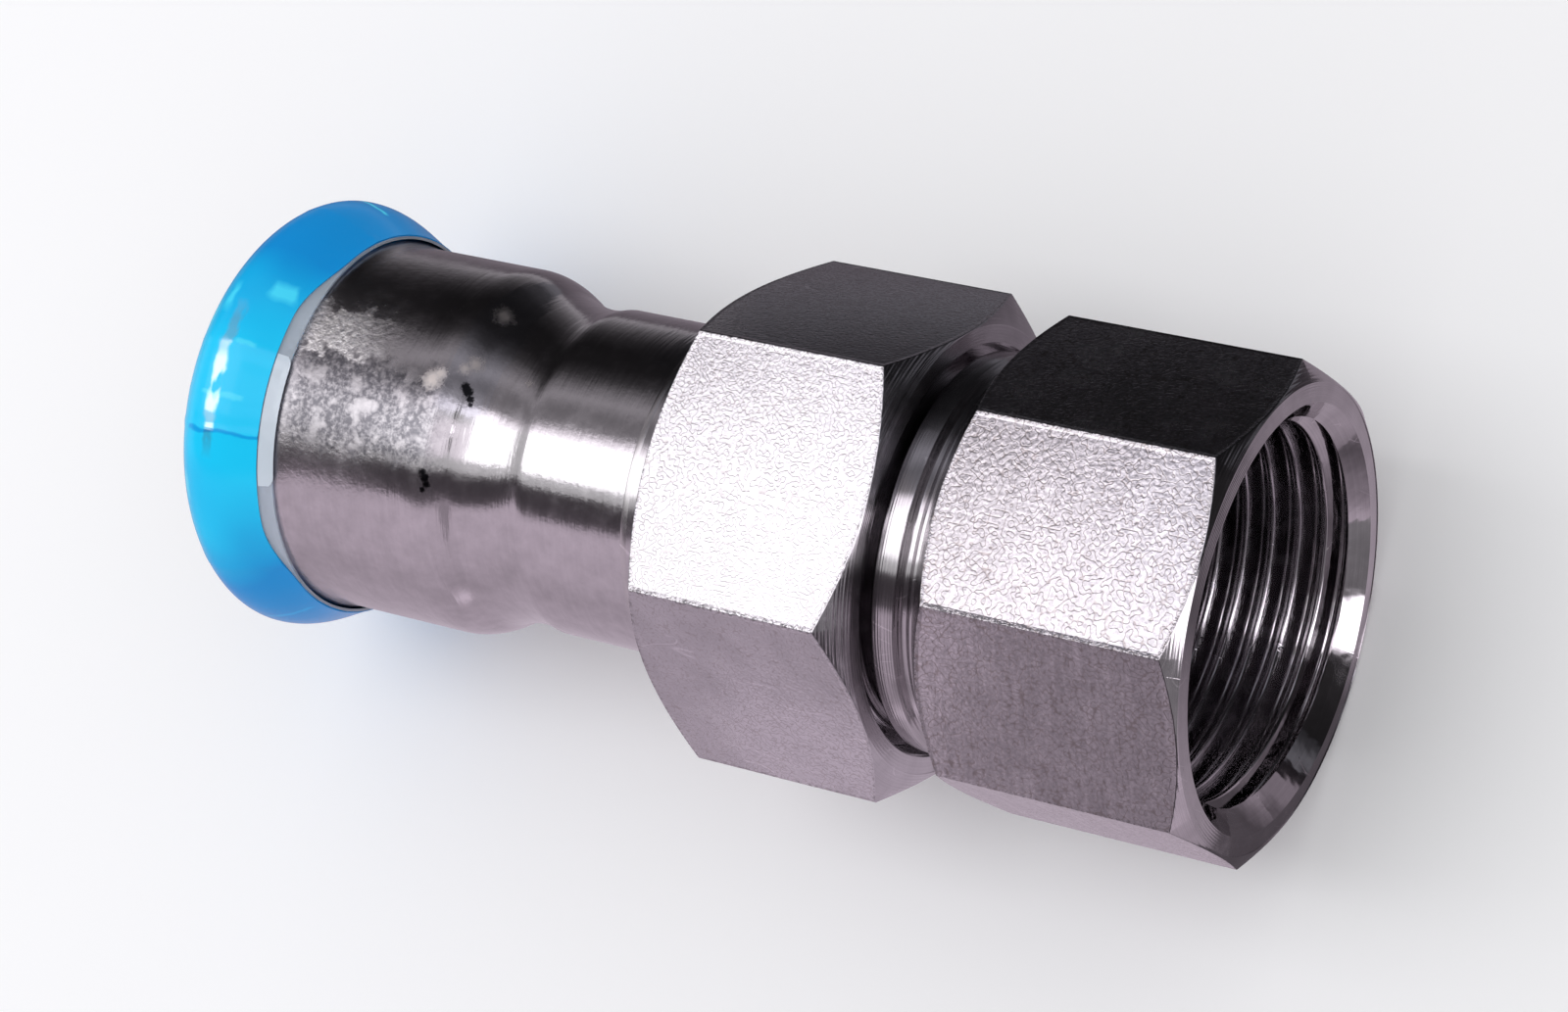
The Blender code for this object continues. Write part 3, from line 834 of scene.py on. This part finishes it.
def make_clear_film(name, haze):
    made, tree, shader = plain_finish(name, 0.07, CLEAR_FILM, metallic=0.0)
    shader.inputs["Transmission Weight"].default_value = 1.0 - haze
    shader.inputs["IOR"].default_value = 1.5
    place = own_place(tree)
    feed(tree, bumped(tree, noise(tree, place, 420.0, 2.0), 0.5, 0.00020), shader.inputs["Normal"])
    return made


def rim_column(angle):
    outer = [(x, r + RIM_EDGE * max(0, 1 - i / RIM_EDGE_STEPS)) for i, (x, r) in
             enumerate(film_line(RIM_START, film_foot(angle), RIM_OFFSET, RIM_STEPS))]
    inner = film_line(RIM_START, film_foot(angle), RIM_OFFSET - RIM_THICKNESS, RIM_STEPS)
    return [(x, r, 0) for x, r in outer + inner[::-1]]


clear_rim = revolved("clear_rim", rim_column, round_angles(),
                     [make_clear_film("clear_film", 0.35)])
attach(clear_rim, "press_end")


# Lapped tab
# The film's end, lapped over the rim and stuck down by the heat: a short hazy strip with rounded
# corners.
TAB_FROM = -0.10
TAB_TO = 0.575
TAB_THICKNESS = 0.0001
TAB_STEPS = 56
TAB_ROWS = 10
TAB_GAP = 0.00002
TAB_SETBACK = 0.00008
TAB_UNDER_BLUE = 0.0001
TAB_CORNER = 0.0004
TAB_CORNER_SHARE = 14


def tab_column(angle):
    share = (angle - TAB_FROM) / (TAB_TO - TAB_FROM)
    cut = TAB_CORNER * max(0, 1 - min(share, 1 - share) * TAB_CORNER_SHARE) ** 2
    line = film_line(RIM_START + TAB_SETBACK - cut, FILM_START + TAB_UNDER_BLUE,
                     RIM_OFFSET + TAB_GAP, TAB_ROWS)
    top = offset_line(line, TAB_THICKNESS)
    return [(x, r, 0) for x, r in line + top[::-1]]


lapped_tab = revolved("lapped_tab", tab_column, [TAB_FROM] + span(TAB_FROM, TAB_TO, TAB_STEPS),
                      [make_clear_film("hazy_film", 0.7)], capped=True)
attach(lapped_tab, "press_end")


# Union tail
# A turned stainless piece: the collar that the nut pulls on, and a short neck that is welded to the
# formed tube.
TAIL_EDGE = 0.0003
COLLAR_LENGTH = 0.003


def rounded(corners, steps=3):
    """An outline from corners of (x, radius, fillet, finish), with the fillets as arcs."""
    line = []
    count = len(corners)
    for i, (x, r, fillet, finish) in enumerate(corners):
        if not fillet:
            line.append((x, r, finish))
            continue
        here = Vector((x, r))
        before = Vector(corners[i - 1][:2]) - here
        after = Vector(corners[(i + 1) % count][:2]) - here
        half_turn = (pi - before.angle(after)) / 2
        reach = min(fillet * tan(half_turn), before.length * 0.45, after.length * 0.45)
        first = here + before.normalized() * reach
        last = here + after.normalized() * reach
        for j in range(steps + 1):
            t = j / steps
            point = first * (1 - t) ** 2 + here * 2 * t * (1 - t) + last * t ** 2
            line.append((point.x, point.y, finish))
    return line


def make_turned_lines():
    """Marks of a lathe tool: even rings at its feed, and finer rings of uneven depth between."""
    group, given, out = new_group("turned_lines", {"Feed": 0.00025, "Line Width": 0.0001},
                                  ["Feed Marks", "Fine Lines", "Tone"])
    along, from_axis, _ = axis_parts(group)
    per_feed = maths(group, "DIVIDE", 2 * pi, given["Feed"])
    waves = maths(group, "ADD", maths(group, "SINE", times(group, along, per_feed)),
                  maths(group, "SINE", times(group, from_axis, per_feed)))
    ring = add(group, "CombineXYZ")
    feed(group, maths(group, "DIVIDE", along, given["Line Width"]), ring.inputs[0])
    feed(group, maths(group, "DIVIDE", from_axis, given["Line Width"]), ring.inputs[1])
    lines = noise(group, ring.outputs[0], 1.0, 3.0, 0.6)
    patches = noise(group, own_place(group), 260.0, 2.0)
    uneven = times(group, lines, patches)
    feed(group, times(group, waves, remap(group, patches, 0.35, 0.6)), out["Feed Marks"])
    feed(group, lines, out["Fine Lines"])
    feed(group, remap(group, uneven, 0.1, 0.45, 0.84, 1.08), out["Tone"])
    return group


def thin_lines(tree, run, width):
    """1 along the crooked lines where a noise crosses its middle, and 0 a width beside them."""
    off_line = maths(tree, "ABSOLUTE", maths(tree, "SUBTRACT", run, 0.5))
    return remap(tree, off_line, 0.0, width, 1.0, 0.0)


def make_fine_scratches():
    """A few hair-thin scratches from handling, scattered over a surface."""
    group, given, out = new_group("fine_scratches", {"Scale": 160.0, "Width": 0.012}, ["Scratches"])
    place = own_place(group)
    patches = noise(group, place, times(group, given["Scale"], 1.7), 0.0)
    here = remap(group, patches, 0.60, 0.66)
    scratches = []
    for factors in ((1.0, 3.2, 0.6), (0.5, 0.8, 2.6)):
        run = noise(group, stretched(group, place, factors), given["Scale"], 0.0)
        scratches.append(times(group, thin_lines(group, run, given["Width"]), here))
    feed(group, strongest(group, scratches), out["Scratches"])
    return group


turned_lines = make_turned_lines()
fine_scratches = make_fine_scratches()


def make_turned_steel(name, roughness, colour, feed_width=0.00025, feed_depth=0.0, fine_depth=0.5,
                      chatter=0.0):
    """Steel as the lathe leaves it, with the depths of its feed marks, fine lines and chatter."""
    made, tree, shader = plain_finish(name, roughness, colour)
    lines = placed(tree, turned_lines, Feed=feed_width, Line_Width=feed_width * 0.4)
    mottle = placed(tree, metal_mottle, Patch_Scale=400.0, Grain_Scale=5000.0)
    scratches = placed(tree, fine_scratches, Scale=190.0, Width=0.008)
    tone = times(tree, lines["Tone"], mottle["Tone"])
    lit = plus(tree, tone, scratches["Scratches"], 0.25)
    feed(tree, tinted(tree, colour, lit), shader.inputs["Base Color"])
    height = plus(tree, times(tree, lines["Feed Marks"], feed_depth),
                  lines["Fine Lines"], fine_depth)
    height = plus(tree, height, scratches["Scratches"], -0.4)
    if chatter:
        height = plus(tree, height, noise(tree, own_place(tree), 800.0, 1.0), chatter)
    feed(tree, bumped(tree, height, 0.5, 0.00002), shader.inputs["Normal"])
    feed(tree, between(tree, mottle["Patches"], roughness, roughness + 0.07),
         shader.inputs["Roughness"])
    return made


tail_low, tail_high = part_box("union_tail")
COLLAR_R = tail_high.z
COLLAR_FRONT = tail_high.x
COLLAR_BACK = COLLAR_FRONT - COLLAR_LENGTH
TUBE_BORE_R = NECK_R - TUBE_WALL
tail_corners = [
    (COLLAR_FRONT, COLLAR_R, TAIL_EDGE, 0),
    (COLLAR_BACK, COLLAR_R, TAIL_EDGE / 2, 0),
    (COLLAR_BACK, NECK_R, TAIL_EDGE, 0),
    (tail_low.x, NECK_R, 0, 0),
    (tail_low.x, TUBE_BORE_R, 0, 0),
    (COLLAR_FRONT, TUBE_BORE_R, TAIL_EDGE, 0),
]
tail_column = rounded(tail_corners)
turned_tail = revolved("turned_tail", lambda angle: tail_column, round_angles(),
                       [make_turned_steel("tail_steel", 0.15, STEEL, feed_width=0.0003,
                                          feed_depth=0.25)])
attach(turned_tail, "press_end")
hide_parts("union_tail")


# Weld seam
# The laser weld between the tail's neck and the formed tube. It stands out by a hair, and shows as
# a faint ring beside the nut.
WELD_STEEL = (0.60, 0.575, 0.58)
WELD_WIDTH = 0.00056
WELD_RISE = 0.000035
WELD_CLEARANCE = 0.000003
WELD_STEPS = 8

weld_x = (TUBE_START + tail_low.x) / 2
weld_line = [(weld_x + WELD_WIDTH / 2, NECK_R - TUBE_WALL / 2)]
for step in range(WELD_STEPS + 1):
    side = 1 - 2 * step / WELD_STEPS
    weld_line.append((weld_x + side * WELD_WIDTH / 2,
                      NECK_R + WELD_RISE * (1 - side ** 2) + WELD_CLEARANCE))
weld_line.append((weld_x - WELD_WIDTH / 2, NECK_R - TUBE_WALL / 2))
weld_seam = revolved("weld_seam", same_all_round(weld_line), round_angles(),
                     [make_turned_steel("weld_steel", 0.22, WELD_STEEL, feed_width=0.0002,
                                        fine_depth=0.3)])
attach(weld_seam, "press_end")


# Flat seal
# A black rubber washer, moulded flat. It lies loose in the union, which squeezes it between the
# shank and the collar.
SEAL_FACE_EDGE = 0.00025
WATER_WAY_R = 0.0123

seal_low, seal_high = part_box("flat_gasket")
flat_seal_corners = [
    (seal_high.x, seal_high.z, SEAL_FACE_EDGE, 0),
    (seal_low.x, seal_high.z, SEAL_FACE_EDGE, 0),
    (seal_low.x, WATER_WAY_R, SEAL_FACE_EDGE, 0),
    (seal_high.x, WATER_WAY_R, SEAL_FACE_EDGE, 0),
]
flat_seal_column = rounded(flat_seal_corners)
flat_seal = revolved("flat_seal", lambda angle: flat_seal_column, round_angles(),
                     [bpy.data.materials["ring_rubber"]])
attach(flat_seal, "seal")
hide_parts("flat_gasket")


# Union nut
# A hexagonal nut of stainless bar: rolled flats with a fine dull grain, turned chamfers and faces,
# and a pipe thread inside that runs on the body's shank.
FLATS, TURNED, THREADED = range(3)
THREAD_PITCH = 0.0254 / 11
THREAD_MAJOR_R = 0.0166245
THREAD_DEPTH = 0.001479
THREAD_MINOR_R = THREAD_MAJOR_R - THREAD_DEPTH
THREAD_PLAY = 0.00006
# Half of the thread's rounded form: turns from the crest, and height
THREAD_HALF_FORM = [(0, 1), (0.0488, 0.986), (0.0913, 0.9457), (0.1218, 0.8846),
                    (0.3782, 0.1154), (0.4087, 0.0543), (0.4512, 0.014), (0.5, 0)]
CORNER_FILLET = 0.00022
# Where sections stand on a rounded corner, as shares of its half angle; the others keep clear of it
CORNER_SECTIONS = (-1.25, -1, -0.6, -0.2, 0.2, 0.6, 1, 1.25)
CORNER_CLEARANCE = 1.3
EDGE_FILLET = 0.00012
GROOVE_TINT = (0.25, 0.20, 0.18)
NUT_STEEL = (0.56, 0.54, 0.56)
NUT_SIDES = 6
NUT_ACROSS_FLATS = 0.037
NUT_TURN = radians(1.44)
# The nut's faces: how far each lies inside the flats, and its chamfer's angle
NUT_FRONT_FACE = (0.0001, radians(30))
NUT_BACK_FACE = (0.00075, radians(30))
NUT_BACK_WALL = 0.0026
NUT_RELIEF_LENGTH = 0.0022
NUT_MOUTH_EDGE = 0.0002
NUT_COUNTERBORE_STEP = 0.00018
NUT_COUNTERBORE_LENGTH = 0.0034
NUT_HOLE_R = NECK_R + 0.0003
NUT_HOLE_EDGE = 0.0005


def thread_height(turns):
    """Height of the male thread's form, from 0 at the root to 1 at the crest, where turns is 0."""
    away = abs((turns + 0.5) % 1 - 0.5)
    place = min(bisect([knot[0] for knot in THREAD_HALF_FORM], away), len(THREAD_HALF_FORM) - 1)
    (t0, h0), (t1, h1) = THREAD_HALF_FORM[place - 1], THREAD_HALF_FORM[place]
    return h0 + (h1 - h0) * (away - t0) / (t1 - t0)


def thread_line(start, end, angle, radius_at, finish):
    """Points along a right-hand thread's section from start to end, in rising x.

    Their lines follow the helix; radius_at takes the place and the thread's height there.
    """
    knots = sorted({sign * t for t, _ in THREAD_HALF_FORM for sign in (-1, 1)} - {-0.5})
    places = []
    shift = angle / (2 * pi)
    for whole in range(floor(start / THREAD_PITCH) - 2, floor(end / THREAD_PITCH) + 2):
        places += [(whole + knot + shift) * THREAD_PITCH for knot in knots]
    line = []
    for x in sorted(places):
        x = min(max(x, start), end)
        line.append((x, radius_at(x, thread_height(x / THREAD_PITCH - shift)), finish))
    return line


def corner_half_angle(sides, across_flats, fillet):
    """Half the angle that a bar's rounded corner takes up, seen from the axis."""
    return pi / sides - atan((1 - 2 * fillet / across_flats) * tan(pi / sides))


def bar_angles(sides, across_flats, turn, fillet, count):
    """Angles for the sections of a bar with flats: close together at its rounded corners."""
    round_half = corner_half_angle(sides, across_flats, fillet)
    corners = [(turn + (k + 0.5) * 2 * pi / sides) % (2 * pi) for k in range(sides)]
    angles = {0.0, 2 * pi}
    for i in range(count):
        angle = 2 * pi * i / count
        if all(abs(angle_between(angle, corner)) > CORNER_CLEARANCE * round_half
               for corner in corners):
            angles.add(angle)
    for corner in corners:
        angles.update(corner + share * round_half for share in CORNER_SECTIONS)
    return sorted(angles)


def bar_radius(sides, across_flats, turn, fillet, angle):
    """Distance from the axis to the bar's side, whose corners are rounded."""
    apothem = across_flats / 2
    step = 2 * pi / sides
    from_flat = abs((angle - turn + step / 2) % step - step / 2)
    from_corner = pi / sides - from_flat
    if from_corner > corner_half_angle(sides, across_flats, fillet):
        return apothem / cos(from_flat)
    centre = (apothem - fillet) / cos(pi / sides)
    return centre * cos(from_corner) + sqrt(fillet ** 2 - (centre * sin(from_corner)) ** 2)


def bar_side(side_r, apothem, front, front_face, back, back_face):
    """Corners of a bar's side in one section, front to back: chamfer, flat and chamfer."""
    front_inset, front_chamfer = front_face
    back_inset, back_chamfer = back_face
    front_r, back_r = apothem - front_inset, apothem - back_inset
    return [
        (front, front_r, EDGE_FILLET / 2, TURNED),
        (front - (side_r - front_r) * tan(front_chamfer), side_r, EDGE_FILLET, TURNED),
        (back + (side_r - back_r) * tan(back_chamfer), side_r, EDGE_FILLET, FLATS),
        (back, back_r, EDGE_FILLET / 2, TURNED),
    ]


def make_worm_grain():
    """The grain of pickled bar: short crooked grooves, dark at the bottom, in all directions."""
    group, given, out = new_group("worm_grain", {"Scale": 2400.0, "Width": 0.05},
                                  ["Height", "Grooves"])
    place = own_place(group)
    groove = thin_lines(group, noise(group, place, given["Scale"], 0.0), given["Width"])
    swell = noise(group, place, times(group, given["Scale"], 1.3), 1.0, 0.4)
    feed(group, plus(group, swell, groove, -0.35), out["Height"])
    feed(group, groove, out["Grooves"])
    return group


def make_bar_edges():
    """1 along a bar's long corners and along its chamfers, where handling has nicked the edges."""
    group, given, out = new_group(
        "bar_edges", {"Sides": 6.0, "Turn": 0.0, "Reach": 0.00035,
                      "Front": 0.0, "Front Radius": 0.0, "Front Slope": 1.0,
                      "Back": 0.0, "Back Radius": 0.0, "Back Slope": 1.0}, ["Edges"])
    along, from_axis, angle = axis_parts(group)
    step = maths(group, "DIVIDE", 2 * pi, given["Sides"])
    turned = maths(group, "SUBTRACT", angle, given["Turn"])
    share = maths(group, "FRACT", maths(group, "DIVIDE", turned, step))
    from_corner = maths(group, "ABSOLUTE", maths(group, "SUBTRACT", share, 0.5))
    gap = times(group, times(group, from_corner, step), from_axis)
    for end, room in (("Front", maths(group, "SUBTRACT", given["Front"], along)),
                      ("Back", maths(group, "SUBTRACT", along, given["Back"]))):
        rise = maths(group, "SUBTRACT", from_axis, given[end + " Radius"])
        over = times(group, rise, given[end + " Slope"])
        gap = maths(group, "MINIMUM", gap, maths(group, "SUBTRACT", room, over))
    feed(group, remap(group, gap, 0.0, given["Reach"], 1.0, 0.0), out["Edges"])
    return group


def edge_places(sides, across_flats, turn, front, front_face, back, back_face):
    """The values that lay bar_edges on a bar's own edges."""
    front_inset, front_chamfer = front_face
    back_inset, back_chamfer = back_face
    return {"Sides": float(sides), "Turn": turn, "Front": front, "Back": back,
            "Front_Radius": across_flats / 2 - front_inset, "Front_Slope": tan(front_chamfer),
            "Back_Radius": across_flats / 2 - back_inset, "Back_Slope": tan(back_chamfer)}


worm_grain = make_worm_grain()
bar_edges = make_bar_edges()


def make_rolled_flats(name, colour, edges_at, groove_share, grain_scale, depth, mottling,
                      roughness):
    """Pickled flats; mottling is how far the tone of their fine grain swings."""
    made, tree, shader = plain_finish(name, roughness, colour)
    place = own_place(tree)
    grain = placed(tree, worm_grain, Scale=grain_scale, Width=0.06)
    mottle = placed(tree, metal_mottle, Patch_Scale=300.0, Grain_Scale=2.0 * grain_scale)
    edges = placed(tree, bar_edges, **edges_at)["Edges"]
    scratches = placed(tree, fine_scratches, Scale=150.0, Width=0.008)
    streaks = noise(tree, stretched(tree, place, (1.0, 0.09, 0.09)), 1.2 * grain_scale, 2.0, 0.5)
    bites = noise(tree, place, 3600.0, 2.0, 0.7)
    nicks = times(tree, edges, times(tree, bites, 5.0))
    height = plus(tree, grain["Height"], mottle["Grain"], 0.3)
    height = maths(tree, "ADD", height, nicks)
    feed(tree, bumped(tree, height, depth, 0.00004), shader.inputs["Normal"])
    tone = times(tree, mottle["Tone"],
                 remap(tree, mottle["Grain"], 0.3, 0.7, 1 - mottling, 1 + mottling))
    tone = times(tree, tone, remap(tree, streaks, 0.45, 0.75, 1.0, 1.0 + mottling))
    tone = plus(tree, tone, scratches["Scratches"], 0.3)
    worn = times(tree, edges, remap(tree, bites, 0.50, 0.60))
    tone = times(tree, tone, between(tree, worn, 1.0, 0.35))
    steel = tinted(tree, colour, tone)
    grooves = times(tree, grain["Grooves"], groove_share)
    feed(tree, mixed(tree, grooves, steel, GROOVE_TINT), shader.inputs["Base Color"])
    feed(tree, between(tree, mottle["Patches"], roughness, roughness + 0.05),
         shader.inputs["Roughness"])
    return made


nut_low, nut_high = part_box("union_nut")
NUT_FRONT = nut_high.x
NUT_BACK = nut_low.x
NUT_SHOULDER = NUT_BACK + NUT_BACK_WALL
COUNTERBORE_R = THREAD_MAJOR_R + NUT_COUNTERBORE_STEP


def nut_thread_radius(x, height):
    return THREAD_MINOR_R + THREAD_DEPTH * height + THREAD_PLAY


def nut_column(angle):
    side_r = bar_radius(NUT_SIDES, NUT_ACROSS_FLATS, NUT_TURN, CORNER_FILLET, angle)
    corners = bar_side(side_r, NUT_ACROSS_FLATS / 2, NUT_FRONT, NUT_FRONT_FACE,
                       NUT_BACK, NUT_BACK_FACE)
    thread_start = NUT_SHOULDER + NUT_RELIEF_LENGTH
    thread_end = NUT_FRONT - NUT_COUNTERBORE_LENGTH
    inside = [
        (NUT_BACK, NUT_HOLE_R + NUT_HOLE_EDGE, 0, TURNED),
        (NUT_BACK + NUT_HOLE_EDGE, NUT_HOLE_R, 0, TURNED),
        (NUT_SHOULDER, NUT_HOLE_R, 0, TURNED),
        (NUT_SHOULDER, COUNTERBORE_R, 0, TURNED),
        (thread_start, COUNTERBORE_R, 0, TURNED),
    ]
    mouth = [
        (thread_end, COUNTERBORE_R, TURNED),
        (NUT_FRONT - NUT_MOUTH_EDGE, COUNTERBORE_R, TURNED),
        (NUT_FRONT, COUNTERBORE_R + NUT_MOUTH_EDGE, TURNED),
    ]
    thread = thread_line(thread_start, thread_end, angle, nut_thread_radius, THREADED)
    return rounded(corners + inside) + thread + mouth


nut_edges = edge_places(NUT_SIDES, NUT_ACROSS_FLATS, NUT_TURN, NUT_FRONT, NUT_FRONT_FACE, NUT_BACK,
                        NUT_BACK_FACE)
hexagon_nut = revolved(
    "hexagon_nut", nut_column,
    bar_angles(NUT_SIDES, NUT_ACROSS_FLATS, NUT_TURN, CORNER_FILLET, ROUND_SEGMENTS),
    [make_rolled_flats("nut_flats", NUT_STEEL, nut_edges, groove_share=0.36, grain_scale=2300.0,
                       depth=0.52, mottling=0.02, roughness=0.23),
     make_turned_steel("nut_turned", 0.18, NUT_STEEL, feed_width=0.00027, feed_depth=0.8),
     make_turned_steel("nut_thread", 0.2, NUT_STEEL, feed_width=0.00015, fine_depth=0.2)])
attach(hexagon_nut, "nut")
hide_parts("union_nut")


# Female body
# One turned piece of octagonal stainless bar: coarse rolled flats, turned chamfers and end face, a
# 1 inch pipe thread in the mouth, and behind it the grooved and threaded shank for the union nut.
CONE = THREADED + 1
BODY_STEEL = (0.52, 0.49, 0.51)
BODY_TURNED = (0.52, 0.495, 0.51)
BODY_THREADED = (0.52, 0.495, 0.52)
BODY_SIDES = 8
BODY_ACROSS_FLATS = 0.0378
BODY_LENGTH = 0.0232
BODY_TURN = radians(-1.44)
BODY_FRONT_FACE = (0.0002, radians(33))
BODY_BACK_FACE = (0.0015, radians(35))
RIM_R = THREAD_MAJOR_R + 0.00053
FEMALE_THREAD_LENGTH = 0.0188
SHANK_ROOT_R = THREAD_MAJOR_R - 0.00032
SHANK_ROOT_LENGTH = 0.0008
GROOVE_DEPTH = 0.0005
GROOVE_LENGTH = 0.0014
LAND_R = THREAD_MAJOR_R - 0.00017
LAND_LENGTH = 0.0018
LAND_EDGE = 0.0003
UNDERCUT_DEPTH = 0.0004
UNDERCUT_LENGTH = 0.002
SHANK_END_CHAMFER = 0.0008
SHANK_END_ANGLE = radians(30)
ENTRY_LAND = 0.00135
# The cone's own finish reaches over the thread's first flank
ENTRY_FLANK = 0.0036
CONE_STEPS = (1, 0.97, 0.03, 0)

body_low, body_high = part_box("female_adapter")
MOUTH = body_high.x
SHANK_END = body_low.x
BODY_BACK = MOUTH - BODY_LENGTH


def shank_thread_radius(x, height):
    form = THREAD_MINOR_R + THREAD_DEPTH * height - THREAD_PLAY
    end_r = (THREAD_MAJOR_R - THREAD_DEPTH - SHANK_END_CHAMFER / 2
             + (x - SHANK_END) / tan(SHANK_END_ANGLE))
    return min(form, end_r)


def mouth_thread_radius(x, height):
    form = THREAD_MINOR_R + THREAD_DEPTH * height
    return max(form, RIM_R - (MOUTH - x))


def body_column(angle):
    side_r = bar_radius(BODY_SIDES, BODY_ACROSS_FLATS, BODY_TURN, CORNER_FILLET, angle)
    groove_start = BODY_BACK - SHANK_ROOT_LENGTH
    land_start = groove_start - GROOVE_LENGTH
    land_end = land_start - LAND_LENGTH
    undercut_start = land_end - LAND_EDGE
    thread_start = undercut_start - UNDERCUT_LENGTH
    undercut_r = THREAD_MINOR_R - UNDERCUT_DEPTH
    corners = bar_side(side_r, BODY_ACROSS_FLATS / 2, MOUTH, BODY_FRONT_FACE,
                       BODY_BACK, BODY_BACK_FACE)
    corners += [
        (BODY_BACK, SHANK_ROOT_R, 0, TURNED),
        (groove_start, SHANK_ROOT_R, EDGE_FILLET, TURNED),
        (groove_start - GROOVE_DEPTH, SHANK_ROOT_R - GROOVE_DEPTH, EDGE_FILLET, TURNED),
        (land_start + GROOVE_DEPTH, SHANK_ROOT_R - GROOVE_DEPTH, EDGE_FILLET, TURNED),
        (land_start, LAND_R, EDGE_FILLET, TURNED),
        (land_end, LAND_R, EDGE_FILLET, TURNED),
        (undercut_start, LAND_R - LAND_EDGE, 0, TURNED),
        (undercut_start, undercut_r, 0, TURNED),
        (thread_start, undercut_r, 0, TURNED),
    ]
    shank = thread_line(SHANK_END, thread_start, angle, shank_thread_radius, THREADED)
    water_way = [
        (SHANK_END, WATER_WAY_R, TURNED),
        (MOUTH - FEMALE_THREAD_LENGTH - (THREAD_MINOR_R - WATER_WAY_R) / 2, WATER_WAY_R, THREADED),
        (MOUTH - FEMALE_THREAD_LENGTH, THREAD_MINOR_R, THREADED),
    ]
    thread = thread_line(MOUTH - FEMALE_THREAD_LENGTH, MOUTH - ENTRY_LAND, angle,
                         mouth_thread_radius, THREADED)
    thread = [(x, r, CONE if x > MOUTH - ENTRY_FLANK else finish) for x, r, finish in thread]
    cone = [(MOUTH - share * ENTRY_LAND, RIM_R - share * ENTRY_LAND, CONE) for share in CONE_STEPS]
    return rounded(corners) + shank[::-1] + water_way + thread + cone


body_edges = edge_places(BODY_SIDES, BODY_ACROSS_FLATS, BODY_TURN, MOUTH, BODY_FRONT_FACE,
                         BODY_BACK, BODY_BACK_FACE)
octagon_body = revolved(
    "octagon_body", body_column,
    bar_angles(BODY_SIDES, BODY_ACROSS_FLATS, BODY_TURN, CORNER_FILLET, ROUND_SEGMENTS),
    [make_rolled_flats("body_flats", BODY_STEEL, body_edges, groove_share=0.55, grain_scale=1800.0,
                       depth=0.65, mottling=0.2, roughness=0.24),
     make_turned_steel("body_turned", 0.12, BODY_TURNED, feed_width=0.00024, feed_depth=0.35),
     make_turned_steel("body_thread", 0.10, BODY_THREADED, feed_width=0.00020, fine_depth=1.6),
     make_turned_steel("body_cone", 0.06, BODY_TURNED, feed_width=0.00040, fine_depth=0.1,
                       chatter=1.6)])
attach(octagon_body, "female_end")
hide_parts("female_adapter")
